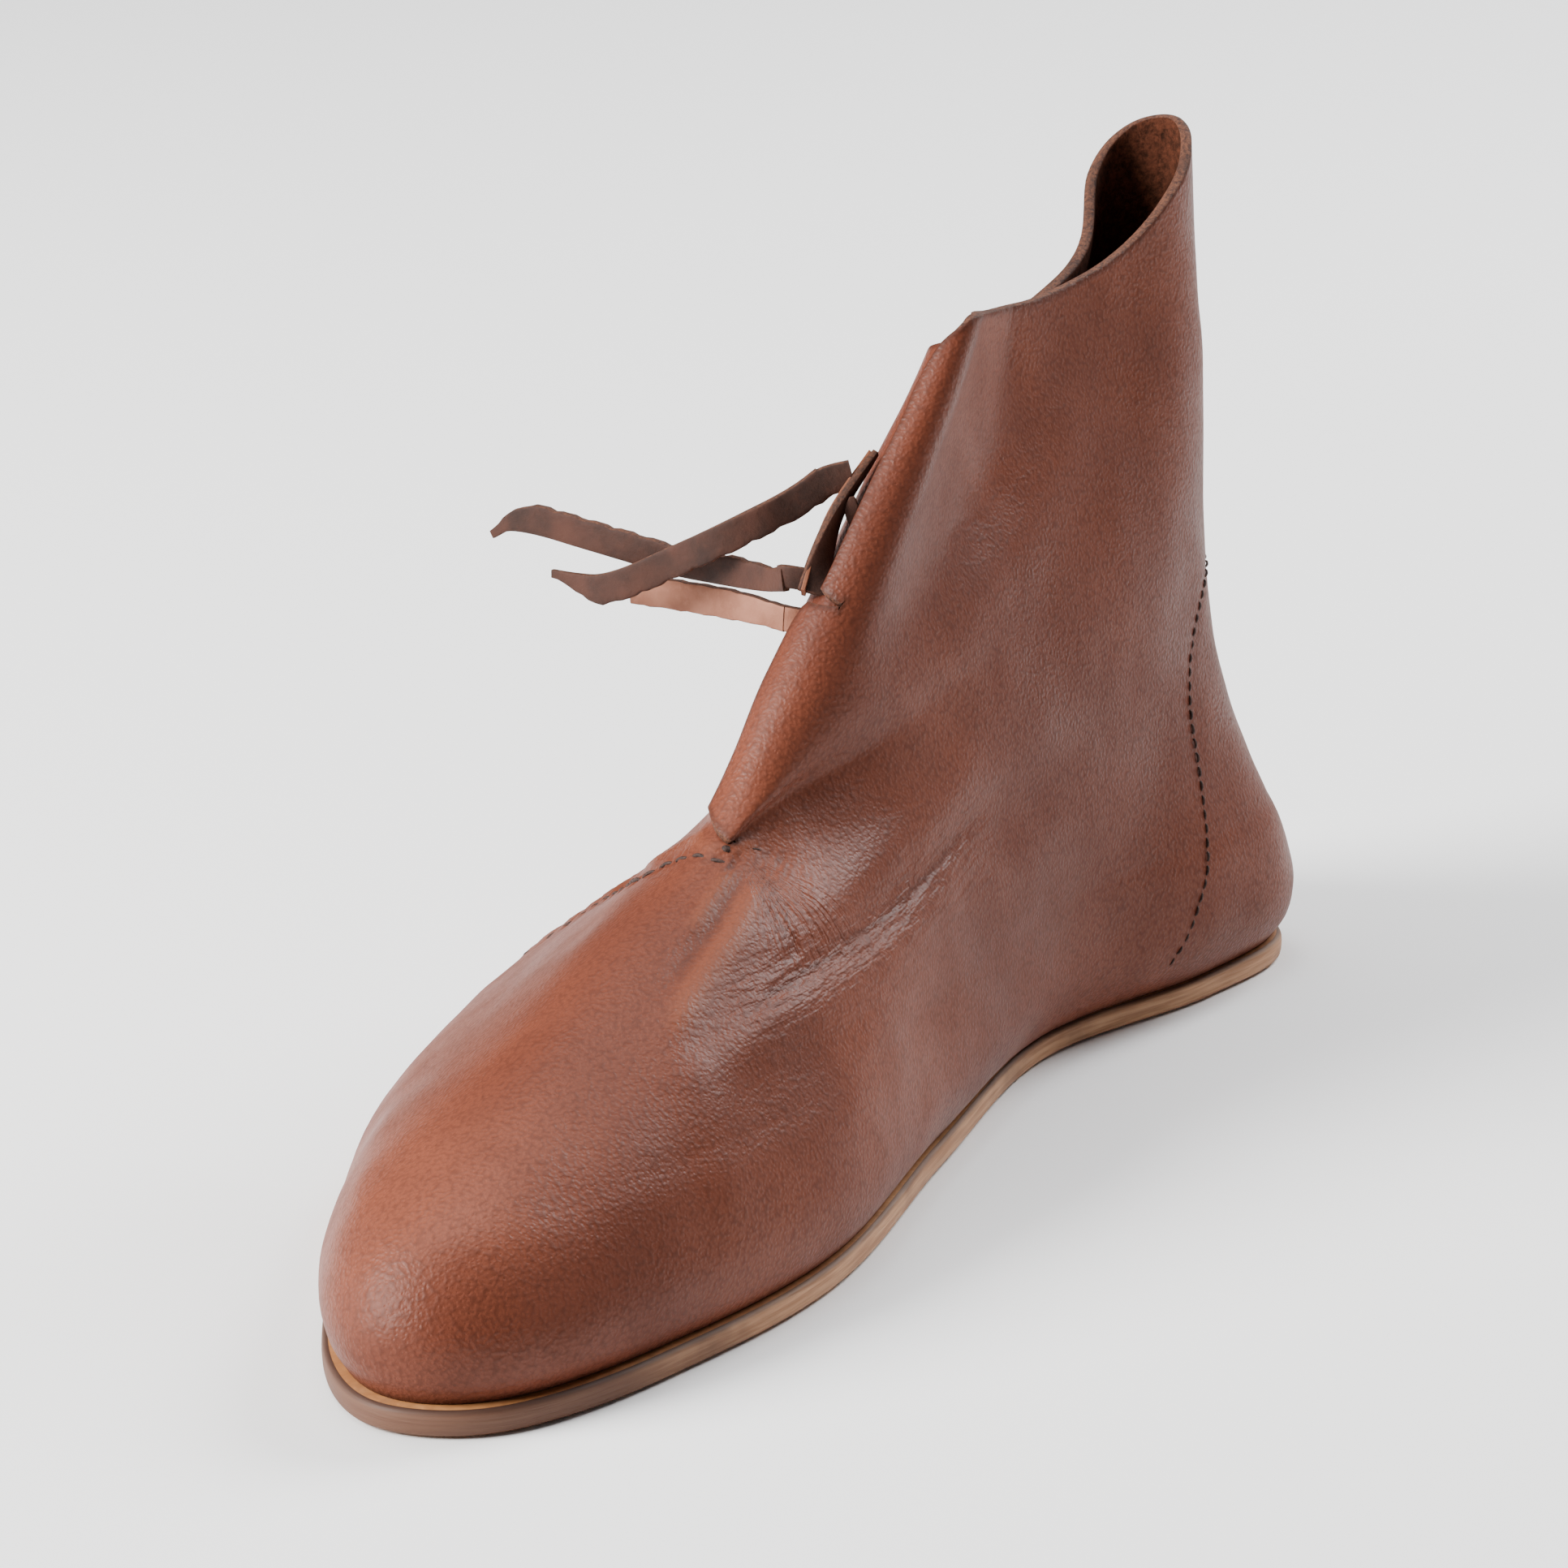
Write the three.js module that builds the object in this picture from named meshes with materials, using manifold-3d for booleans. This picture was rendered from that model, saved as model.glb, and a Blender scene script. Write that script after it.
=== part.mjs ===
// A Viking ankle shoe for the right foot: a leather upper whose inner quarter wraps over the
// front of the ankle, a nailed leather sole, an insole and a leather thong.
// Millimetres, +X from heel to toe, +Y to the inner side of the foot, +Z up from the ground.
import * as THREE from "three";
import { mergeVertices } from "three/addons/utils/BufferGeometryUtils.js";
import Module from "manifold-3d";

const wasm = await Module();
wasm.setup();

// Driving dimensions
const SOLE_LENGTH = 280;
const BALL_WIDTH = 105;
const SOLE_THICKNESS = 4.2;
const SOLE_EDGE_ROUND = 0.7;
const LEATHER = 2;
const CLEARANCE = 0.3;
const THROAT_HEIGHT = 62;
const BACK_HEIGHT = 154;
const SHAFT_HEIGHT = BACK_HEIGHT - THROAT_HEIGHT;
const FEATHER_INSET = 1.6;
const INSOLE_THICKNESS = 2;
const FLAP_STAND_OFF = 2.6;
const SLIT_HEIGHT = 96;
const SLIT_OPENING = 1.6;
const NAIL_DIAMETER = 2.9;
const NAIL_LENGTH = 2.4;
const NAIL_INSET = 7.4;
const NAIL_SINK = 0.15;
const NAIL_COUNT = 41;
const NAIL_SIDES = 8;

const COLORS = { leather: 0x74402b, sole: 0xb87c3e, insole: 0x8a5a3a, nail: 0x5d5348, thong: 0x5b3323 };

const clamp = (v, low, high) => Math.min(high, Math.max(low, v));
const mix = (a, b, t) => a + (b - a) * t;
const smooth = (v) => {
  const t = clamp(v, 0, 1);
  return t * t * (3 - 2 * t);
};

// One span of a smooth curve from p1 to p2, with the slopes of its neighbours.
function hermite(p1, p2, slope1, slope2, span, t) {
  const u = 1 - t;
  return p1 * (1 + 2 * t) * u * u + p2 * t * t * (3 - 2 * t) + span * t * u * (slope1 * u - slope2 * t);
}

// Smooth curve through pairs [at, value].
function curve(pairs, at) {
  const last = pairs.length - 1;
  if (at <= pairs[0][0]) return pairs[0][1];
  if (at >= pairs[last][0]) return pairs[last][1];
  let i = 0;
  while (at > pairs[i + 1][0]) i += 1;
  const slope = (j) => {
    const before = pairs[Math.max(0, j - 1)];
    const after = pairs[Math.min(last, j + 1)];
    return (after[1] - before[1]) / (after[0] - before[0]);
  };
  const span = pairs[i + 1][0] - pairs[i][0];
  return hermite(pairs[i][1], pairs[i + 1][1], slope(i), slope(i + 1), span, (at - pairs[i][0]) / span);
}

// Level sections of the last, from the sole up. Height is a share of the throat's height up to 1
// and then a share, less 1, of what is left to the top of the back. Heel and toe are shares of the
// sole's length from its middle. The widths are shares of the ball width: on the inner side from
// the heel to the toe, and on the outer side back from the toe to the heel.
const SECTION_COLUMNS = ["height", "heel", "toe", "inner", "outer"];
const SECTIONS = [
  [0.0, -0.5, 0.5, [0, 0.27, 0.295, 0.225, 0.347, 0.486, 0.475, 0.4],
    [0.24, 0.06, -0.155, -0.42, -0.535, -0.415, -0.335, -0.265]],
  [0.42, -0.499, 0.465, [0, 0.25, 0.305, 0.26, 0.33, 0.45, 0.43, 0.35],
    [0.22, 0.06, -0.11, -0.295, -0.41, -0.385, -0.33, -0.26]],
  [0.62, -0.486, 0.355, [0, 0.205, 0.265, 0.26, 0.3, 0.38, 0.385, 0.315],
    [0.2, 0.065, -0.08, -0.21, -0.3, -0.33, -0.305, -0.25]],
  [0.81, -0.47, 0.24, [0, 0.172, 0.228, 0.245, 0.26, 0.305, 0.32, 0.25],
    [0.155, 0.055, -0.04, -0.12, -0.2, -0.26, -0.255, -0.2]],
  [1.0, -0.459, 0.12, [0, 0.15, 0.2, 0.225, 0.24, 0.255, 0.235, 0.175],
    [0.125, 0.065, -0.01, -0.09, -0.15, -0.2, -0.22, -0.175]],
  [1.25, -0.457, 0.04, [0.01, 0.13, 0.175, 0.185, 0.18, 0.19, 0.2, 0.18],
    [0.13, 0.07, 0, -0.07, -0.11, -0.15, -0.17, -0.135]],
  [1.52, -0.466, -0.034, [0.01, 0.105, 0.14, 0.125, 0.105, 0.115, 0.145, 0.175],
    [0.145, 0.09, 0.04, 0, -0.03, -0.07, -0.12, -0.1]],
  [1.76, -0.466, -0.103, [0.01, 0.08, 0.105, 0.085, 0.06, 0.07, 0.12, 0.165],
    [0.16, 0.11, 0.06, 0.015, 0.003, -0.012, -0.08, -0.07]],
  [2.0, -0.464, -0.16, [0.01, 0.065, 0.09, 0.075, 0.045, 0.05, 0.1, 0.15],
    [0.15, 0.1, 0.05, 0.005, -0.002, -0.012, -0.085, -0.065]],
];
const KNOTS_A_SIDE = SECTIONS[0][SECTION_COLUMNS.indexOf("inner")].length;
const KNOTS_AROUND = 2 * KNOTS_A_SIDE;

// How far the leather swells past the edge of the sole, in shares of the most that it does,
// against the height over the sole, in shares of the height at which the swell ends.
const SWELL_OUT = 2.4;
const SWELL_HEIGHT = 26;
const SWELL = [
  [0, -FEATHER_INSET / SWELL_OUT],
  [0.15, 0.42],
  [0.38, 1],
  [0.65, 0.67],
  [1, 0],
];

// Height of the top line in shares of what is left above the throat, by the angle round the ankle:
// 0 at the back, 180 at the front, negative on the outer side.
const TOP_LINE = [
  [-210, 0.76],
  [-180, 0.78],
  [-157, 0.76],
  [-135, 0.715],
  [-112, 0.695],
  [-90, 0.712],
  [-67, 0.785],
  [-45, 0.9],
  [-22, 0.975],
  [0, 1],
  [22, 0.97],
  [45, 0.89],
  [67, 0.793],
  [90, 0.751],
  [112, 0.761],
  [135, 0.793],
  [157, 0.816],
  [168, 0.822],
  [174, 0.82],
  [180, 0.803],
  [186, 0.776],
  [192, 0.741],
  [198, 0.696],
];

const shaftLevel = (share) => THROAT_HEIGHT + share * SHAFT_HEIGHT;
const sectionHeight = (share) => (share <= 1 ? share * THROAT_HEIGHT : shaftLevel(share - 1));

function sectionValue(column, height, knot) {
  const index = SECTION_COLUMNS.indexOf(column);
  const pairs = SECTIONS.map((row) => {
    const value = knot === undefined ? row[index] * SOLE_LENGTH : row[index][knot] * BALL_WIDTH;
    return [sectionHeight(row[0]), value];
  });
  return curve(pairs, height);
}

// Point of the last's skin at an angle round the shoe and a height, before the swell.
const widthsAt = new Map();
function lastPoint(angle, height) {
  const key = height.toFixed(4);
  if (!widthsAt.has(key)) {
    const knots = Array.from({ length: KNOTS_A_SIDE }, (_, k) => k);
    const side = (column) => knots.map((k) => sectionValue(column, height, k));
    const widths = [...side("inner"), ...side("outer")];
    widthsAt.set(key, { widths, heel: sectionValue("heel", height), toe: sectionValue("toe", height) });
  }
  const { widths, heel, toe } = widthsAt.get(key);
  const turn = (((angle / 360) % 1) + 1) % 1;
  const at = turn * KNOTS_AROUND;
  const k = Math.floor(at);
  const width = (j) => widths[(k + j + KNOTS_AROUND) % KNOTS_AROUND];
  const y = hermite(width(0), width(1), (width(1) - width(-1)) / 2, (width(2) - width(0)) / 2, 1, at - k);
  const x = mix(heel, toe, (1 - Math.cos(THREE.MathUtils.degToRad(angle))) / 2);
  return new THREE.Vector2(x, y);
}

// Outward level direction of the skin, from its points a few degrees either side.
const LOOK_ASIDE = 1.5;
function outward(angle, height) {
  const a = lastPoint(angle - LOOK_ASIDE, height);
  const b = lastPoint(angle + LOOK_ASIDE, height);
  return new THREE.Vector2(a.y - b.y, b.x - a.x).normalize();
}

function skin(angle, height, standOff = 0) {
  const p = lastPoint(angle, height);
  const out = standOff + SWELL_OUT * curve(SWELL, (height - SOLE_THICKNESS) / SWELL_HEIGHT);
  p.addScaledVector(outward(angle, height), out);
  return new THREE.Vector3(p.x, p.y, height);
}

// Outline of flat leather cut to the last's section at a height.
const edgePoint = (angle, inset, height = 0) =>
  lastPoint(angle, height).addScaledVector(outward(angle, height), -inset);

function bodyFrom(positions, triangles) {
  const geometry = new THREE.BufferGeometry();
  geometry.setAttribute("position", new THREE.Float32BufferAttribute(positions, 3));
  geometry.setIndex(triangles);
  return geometry;
}

// A sheet of quads made into leather: the given points are its outer face, the inner face lies one
// thickness inside along the points' normals, and every free edge gets a wall.
function leatherSheet(points, quads, thickness, levelPoints) {
  const normals = points.map(() => new THREE.Vector3());
  const diagonalA = new THREE.Vector3();
  const diagonalB = new THREE.Vector3();
  for (const q of quads) {
    diagonalA.subVectors(points[q[2]], points[q[0]]);
    diagonalB.subVectors(points[q[3]], points[q[1]]);
    const normal = new THREE.Vector3().crossVectors(diagonalA, diagonalB).normalize();
    for (const i of q) normals[i].add(normal);
  }
  const inner = points.map((p, i) => {
    if (levelPoints.has(i)) normals[i].z = 0;
    return p.clone().addScaledVector(normals[i].normalize(), -thickness);
  });
  const positions = [...points, ...inner].flatMap((p) => p.toArray());
  const shift = points.length;
  const triangles = [];
  const open = new Map();
  for (const [a, b, c, d] of quads) {
    triangles.push(a, b, c, a, c, d);
    triangles.push(a + shift, c + shift, b + shift, a + shift, d + shift, c + shift);
    for (const [s, e] of [[a, b], [b, c], [c, d], [d, a]]) {
      if (open.has(`${e},${s}`)) open.delete(`${e},${s}`);
      else open.set(`${s},${e}`, [s, e]);
    }
  }
  for (const [s, e] of open.values()) {
    triangles.push(s, s + shift, e + shift, s, e + shift, e);
  }
  return bodyFrom(positions, triangles);
}

// Upper
const AROUND = 60;
const STEP = 360 / AROUND;
const columnAngle = (c) => -180 + STEP * c;
const THROAT_COLUMN = 58;
const FLAP_COLUMNS = 3;
const UNDERLAP_COLUMNS = 5;
const ATTACHED_UNDERLAP = AROUND - THROAT_COLUMN - 1;
const LAST_COLUMN = AROUND + FLAP_COLUMNS;
const FREE_EDGE_LIFT = 0.8;
const CORNER_LIFT = 3.2;
const SLIT_COLUMNS = 4;
const SLIT_WEDGE = 2;
const FRONT_TOP = curve(TOP_LINE, 180);
const slitShare = (side) =>
  (SLIT_HEIGHT + (side * SLIT_OPENING) / 2 - THROAT_HEIGHT) / (FRONT_TOP * SHAFT_HEIGHT);
const SLIT_TOP_RING = slitShare(1);
const FOOT_RINGS = [0, 0.05, 0.11, 0.18, 0.26, 0.34, 0.42, 0.5, 0.58, 0.66, 0.74, 0.82, 0.88, 0.94, 1];
const LOW_RINGS = [0.1, 0.18, 0.27, 0.36];
const HIGH_RINGS = [0.55, 0.63, 0.71, 0.79, 0.87, 0.94, 1];
const SHAFT_RINGS = [...LOW_RINGS, slitShare(-1), SLIT_TOP_RING, ...HIGH_RINGS];

// How far the flap's edge lies past the front of the ankle, in degrees, against its height.
const FLAP_EDGE = [
  [THROAT_HEIGHT, 12],
  [shaftLevel(0.28), 12],
  [SLIT_HEIGHT - SLIT_OPENING / 2, 8],
  [SLIT_HEIGHT + SLIT_OPENING / 2, 3],
  [shaftLevel(0.61), 3],
  [shaftLevel(0.68), 3.5],
  [shaftLevel(0.72), 6],
  [shaftLevel(0.78), 10],
];

// How far the outer quarter runs on past the front, under the flap, in degrees.
const UNDERLAP_REACH = [
  [THROAT_HEIGHT, UNDERLAP_COLUMNS * STEP],
  [shaftLevel(0.27), 28],
  [shaftLevel(0.52), 18],
  [shaftLevel(0.74), 10],
  [BACK_HEIGHT, 8],
];

// The flap stands one leather and a little air off the quarter that it covers.
// It leaves the quarter steeply at the throat and gently from a little higher up.
const RAMP_RISE = 20;
const RAMP_COLUMNS = 12;
function flapStandOff(angle, height) {
  const high = smooth((height - THROAT_HEIGHT) / RAMP_RISE);
  const begin = mix(columnAngle(THROAT_COLUMN), columnAngle(THROAT_COLUMN - RAMP_COLUMNS), high);
  const full = mix(columnAngle(THROAT_COLUMN + 1), columnAngle(THROAT_COLUMN - 1), high);
  return FLAP_STAND_OFF * smooth((angle - begin) / (full - begin));
}

// Rings of the shaft run level up to the slit and turn into the top line above it.
function shaftHeight(angle, share) {
  const turned = smooth((share - SLIT_TOP_RING) / (1 - SLIT_TOP_RING));
  return shaftLevel(share * mix(FRONT_TOP, curve(TOP_LINE, angle), turned));
}

function makeUpper() {
  const points = [];
  const level = new Set();
  const add = (p) => points.push(p) - 1;
  const foot = FOOT_RINGS.map((share) => {
    const height = mix(SOLE_THICKNESS + CLEARANCE, THROAT_HEIGHT, share);
    return Array.from({ length: AROUND }, (_, c) => add(skin(columnAngle(c), height)));
  });
  foot[0].forEach((i) => level.add(i));
  const quads = [];
  for (let r = 0; r + 1 < foot.length; r += 1) {
    for (let c = 0; c < AROUND; c += 1) {
      const n = (c + 1) % AROUND;
      quads.push([foot[r][c], foot[r + 1][c], foot[r + 1][n], foot[r][n]]);
    }
  }
  const throat = foot[foot.length - 1];
  const first = -UNDERLAP_COLUMNS;
  const columns = Array.from({ length: LAST_COLUMN - first + 1 }, (_, i) => first + i);
  const pastThroat = (c) => Math.max(0, (c - THROAT_COLUMN) / (LAST_COLUMN - THROAT_COLUMN));
  const angleOf = (c, height) => {
    if (c < 0) return -180 + (curve(UNDERLAP_REACH, height) * c) / UNDERLAP_COLUMNS;
    const flapEdge = 180 + curve(FLAP_EDGE, height);
    return c > THROAT_COLUMN ? mix(columnAngle(THROAT_COLUMN), flapEdge, pastThroat(c)) : columnAngle(c);
  };
  const standOffOf = (c, angle, height) => {
    if (c < 0) return flapStandOff(angle + 360, height) - FLAP_STAND_OFF;
    return c > AROUND / 2 ? flapStandOff(angle, height) : 0;
  };
  const isAttached = (c) => c >= -ATTACHED_UNDERLAP && c <= THROAT_COLUMN;
  const shaftRing = (share, liftOf) =>
    columns.map((c) => {
      const height = shaftHeight(columnAngle(Math.max(c, 0)), share) + liftOf(c);
      const angle = angleOf(c, height);
      return add(skin(angle, height, standOffOf(c, angle, height)));
    });
  const alongSlit = (c) => Math.max(0, (c - LAST_COLUMN) / SLIT_COLUMNS + 1);
  const freeFoot = shaftRing(0, (c) => FREE_EDGE_LIFT + CORNER_LIFT * smooth(pastThroat(c)));
  let below = columns.map((c, i) => (isAttached(c) ? throat[(c + AROUND) % AROUND] : freeFoot[i]));
  for (const share of SHAFT_RINGS) {
    const ring = shaftRing(share, (c) => (share === SLIT_TOP_RING ? SLIT_WEDGE * alongSlit(c) : 0));
    for (let i = 0; i + 1 < columns.length; i += 1) {
      if (share === SLIT_TOP_RING && columns[i] >= LAST_COLUMN - SLIT_COLUMNS) continue;
      quads.push([below[i], ring[i], ring[i + 1], below[i + 1]]);
    }
    below = ring;
  }
  const used = new Map();
  const kept = [];
  const keptLevel = new Set();
  for (const q of quads) {
    q.forEach((i, j) => {
      if (!used.has(i)) {
        used.set(i, kept.length);
        if (level.has(i)) keptLevel.add(kept.length);
        kept.push(points[i]);
      }
      q[j] = used.get(i);
    });
  }
  return leatherSheet(kept, quads, LEATHER, keptLevel);
}

// Sole and insole: flat leather cut to the outline of the last.
const OUTLINE_STEPS = 72;
function outlineShape(inset, height) {
  const at = (i) => edgePoint((i * 360) / OUTLINE_STEPS, inset, height);
  return new THREE.Shape(Array.from({ length: OUTLINE_STEPS }, (_, i) => at(i)));
}

function slab(inset, height, thickness, round) {
  return new THREE.ExtrudeGeometry(outlineShape(inset, height), {
    depth: thickness - 2 * round,
    bevelEnabled: round > 0,
    bevelThickness: round,
    bevelSize: round,
    bevelOffset: -round,
    bevelSegments: 1,
  }).translate(0, 0, round);
}

// Nails: flush heads in pockets round the edge of the sole, the first at the tip of the toe.
const LINE_STEPS = 720;
function nailPlaces() {
  const pointAt = (i) => edgePoint(180 + (i * 360) / LINE_STEPS, NAIL_INSET);
  const line = Array.from({ length: LINE_STEPS + 1 }, (_, i) => pointAt(i));
  const lengths = [0];
  for (let i = 1; i <= LINE_STEPS; i += 1) lengths.push(lengths[i - 1] + line[i].distanceTo(line[i - 1]));
  const places = [];
  let at = 0;
  for (let n = 0; n < NAIL_COUNT; n += 1) {
    while (lengths[at] < (lengths[LINE_STEPS] * n) / NAIL_COUNT) at += 1;
    places.push(line[at]);
  }
  return places;
}

function peg(radius, bottom, top, place = new THREE.Vector2()) {
  const geometry = new THREE.CylinderGeometry(radius, radius, top - bottom, NAIL_SIDES);
  return geometry.rotateX(Math.PI / 2).translate(place.x, place.y, (top + bottom) / 2);
}

function toSolid(geometry) {
  const bare = geometry.clone();
  bare.deleteAttribute("normal");
  bare.deleteAttribute("uv");
  const merged = mergeVertices(bare);
  return new wasm.Manifold(
    new wasm.Mesh({
      numProp: 3,
      vertProperties: new Float32Array(merged.attributes.position.array),
      triVerts: new Uint32Array(merged.index.array),
    }),
  );
}

function toGeometry(solid) {
  const mesh = solid.getMesh();
  return bodyFrom(Array.from(mesh.vertProperties), Array.from(mesh.triVerts));
}

function makeOutsole(places) {
  let sole = toSolid(slab(0, 0, SOLE_THICKNESS, SOLE_EDGE_ROUND));
  const roomy = NAIL_DIAMETER / 2 + CLEARANCE;
  for (const place of places) {
    sole = sole.subtract(toSolid(peg(roomy, -1, NAIL_SINK + NAIL_LENGTH + CLEARANCE, place)));
  }
  return toGeometry(sole);
}

// Thong: a flat leather strip that runs doubled up the edge of the flap and leaves in three ends.
// Each route is a list of points [x, y, z], chosen by eye, and the strip's width stands upright.
const THONG_WIDTH = 5.2;
const THONG_THICKNESS = 1.6;
const BAR_AWAY = new THREE.Vector3(0.47, -0.88, 0);
const BAR_ANGLE = 190;
const BAR_BOTTOM = SLIT_HEIGHT + SLIT_OPENING / 2 + CLEARANCE;
const BAR_RISE = 22;
const BAR_TOP = SLIT_HEIGHT + BAR_RISE;
const BAR_STEPS = 6;
const BAR_STAND_OFF = 0.75;
const UPRIGHT = new THREE.Vector3(0, 0, 1);
const THONG_ENDS = {
  thong_end_upper: [
    [-8.3, 6.8, 113.2],
    [-6.4, 4.6, 111],
    [-4.6, 2.4, 109.2],
    [-0.8, -1.4, 106.6],
    [2.2, -7.9, 102.7],
    [3, -17.5, 97.5],
    [4, -24.6, 93.7],
    [4.2, -30.6, 91.4],
    [4, -35.6, 90.8],
    [4, -40.6, 90.7],
  ],
  thong_end_lower: [
    [2.5, 6, 99.1],
    [0, -0.4, 97.6],
    [-1.5, -11.2, 96.9],
    [-1.6, -19.9, 97],
    [-1, -28.8, 98.1],
    [-0.5, -38, 99.2],
    [0, -46.9, 100.2],
    [0.5, -53, 100],
    [0.5, -56.8, 98],
  ],
  thong_end_back: [
    [-1.7, 3.4, 90.3],
    [-2.4, -2.6, 90.6],
    [-3.6, -10, 90.4],
    [-4.6, -17, 90],
    [-5, -24, 89.7],
    [-5, -30.5, 89.4],
  ],
};

// A strip with a four-cornered section along a smooth curve.
function strip(points, steps, width, thickness, widthDirection) {
  const route = new THREE.CatmullRomCurve3(points, false, "centripetal");
  const positions = [];
  for (let i = 0; i <= steps; i += 1) {
    const centre = route.getPointAt(i / steps);
    const along = route.getTangentAt(i / steps);
    const side = widthDirection.clone().addScaledVector(along, -along.dot(widthDirection)).normalize();
    const face = new THREE.Vector3().crossVectors(along, side);
    for (const [w, t] of [[-1, -1], [1, -1], [1, 1], [-1, 1]]) {
      const corner = centre.clone().addScaledVector(side, (w * width) / 2);
      positions.push(...corner.addScaledVector(face, (t * thickness) / 2).toArray());
    }
  }
  const triangles = [0, 2, 1, 0, 3, 2];
  const end = 4 * steps;
  triangles.push(end, end + 1, end + 2, end, end + 2, end + 3);
  for (let i = 0; i < steps; i += 1) {
    for (let k = 0; k < 4; k += 1) {
      const a = 4 * i + k;
      const b = 4 * i + ((k + 1) % 4);
      triangles.push(a, b, b + 4, a, b + 4, a + 4);
    }
  }
  return bodyFrom(positions, triangles);
}

function makeThongBar() {
  const points = Array.from({ length: BAR_STEPS }, (_, i) => {
    const height = mix(BAR_BOTTOM, BAR_TOP, i / (BAR_STEPS - 1));
    return skin(BAR_ANGLE, height, FLAP_STAND_OFF).addScaledVector(BAR_AWAY, BAR_STAND_OFF);
  });
  const across = new THREE.Vector3().crossVectors(BAR_AWAY, UPRIGHT);
  return strip(points, 2 * BAR_STEPS, THONG_WIDTH, 2 * THONG_THICKNESS, across);
}

const materials = Object.fromEntries(
  Object.entries(COLORS).map(([name, color]) => [
    name,
    new THREE.MeshStandardMaterial({ color, roughness: 0.5, metalness: name === "nail" ? 0.6 : 0 }),
  ]),
);

const shoe = new THREE.Group();
function addNode(name, geometry, material, height = 0) {
  const mesh = new THREE.Mesh(geometry, materials[material]);
  mesh.name = name;
  mesh.position.z = height;
  shoe.add(mesh);
}

const nailAt = nailPlaces();
addNode("outsole", makeOutsole(nailAt), "sole");
addNode("upper", makeUpper(), "leather");
const insoleInset = FEATHER_INSET + LEATHER + 2 * CLEARANCE;
const insoleBottom = SOLE_THICKNESS + CLEARANCE;
const insoleTop = insoleBottom + INSOLE_THICKNESS;
addNode("insole", slab(insoleInset, insoleTop, INSOLE_THICKNESS, 0), "insole", insoleBottom);
nailAt.forEach((place, i) => {
  const nail = peg(NAIL_DIAMETER / 2, NAIL_SINK, NAIL_SINK + NAIL_LENGTH, place);
  addNode(`nail_${String(i + 1).padStart(2, "0")}`, nail, "nail");
});
addNode("thong_bar", makeThongBar(), "thong");
for (const [name, route] of Object.entries(THONG_ENDS)) {
  const points = route.map((p) => new THREE.Vector3(...p));
  addNode(name, strip(points, 2 * points.length, THONG_WIDTH, THONG_THICKNESS, UPRIGHT), "thong");
}

// The origin is on the ground, under the middle of the shoe without the thong's free ends.
const extent = new THREE.Box3();
for (const mesh of shoe.children) {
  if (!(mesh.name in THONG_ENDS)) extent.expandByObject(mesh);
}
const middle = extent.getCenter(new THREE.Vector3());
shoe.position.set(-middle.x, -middle.y, 0);

export default shoe;
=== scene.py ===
import math
import bpy
import mathutils.noise
import numpy as np
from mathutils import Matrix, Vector
from mathutils.geometry import delaunay_2d_cdt


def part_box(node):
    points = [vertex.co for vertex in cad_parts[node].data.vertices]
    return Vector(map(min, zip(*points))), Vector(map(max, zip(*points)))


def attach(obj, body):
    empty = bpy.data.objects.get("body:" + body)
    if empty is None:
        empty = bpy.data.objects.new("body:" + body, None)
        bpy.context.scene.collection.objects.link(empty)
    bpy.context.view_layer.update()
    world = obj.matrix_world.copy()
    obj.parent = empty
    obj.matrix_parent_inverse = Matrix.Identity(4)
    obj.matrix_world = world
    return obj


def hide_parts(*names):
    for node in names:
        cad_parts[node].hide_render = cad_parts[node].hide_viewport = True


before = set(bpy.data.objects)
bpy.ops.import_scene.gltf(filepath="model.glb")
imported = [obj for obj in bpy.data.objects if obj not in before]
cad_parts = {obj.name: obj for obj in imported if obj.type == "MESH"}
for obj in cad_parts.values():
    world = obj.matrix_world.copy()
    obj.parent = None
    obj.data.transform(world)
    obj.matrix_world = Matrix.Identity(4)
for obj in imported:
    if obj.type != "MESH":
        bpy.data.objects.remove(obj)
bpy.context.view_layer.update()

# Main sizes in millimetres, the same as the solids'. The rest follows from the frame.
MM = 0.001
sole_low, sole_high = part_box("outsole")
upper_low, upper_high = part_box("upper")
SOLE_LENGTH = (sole_high.x - sole_low.x) / MM
SOLE_THICKNESS = (sole_high.z - sole_low.z) / MM
BACK_HEIGHT = upper_high.z / MM
UPPER_BOTTOM = upper_low.z / MM
BALL_WIDTH = 105
THROAT_HEIGHT = 62
LEATHER = 2
FEATHER_INSET = 1.6
FLAP_STAND_OFF = 2.6
SLIT_HEIGHT = 96
SLIT_OPENING = 1.6
SHAFT_HEIGHT = BACK_HEIGHT - THROAT_HEIGHT

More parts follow.
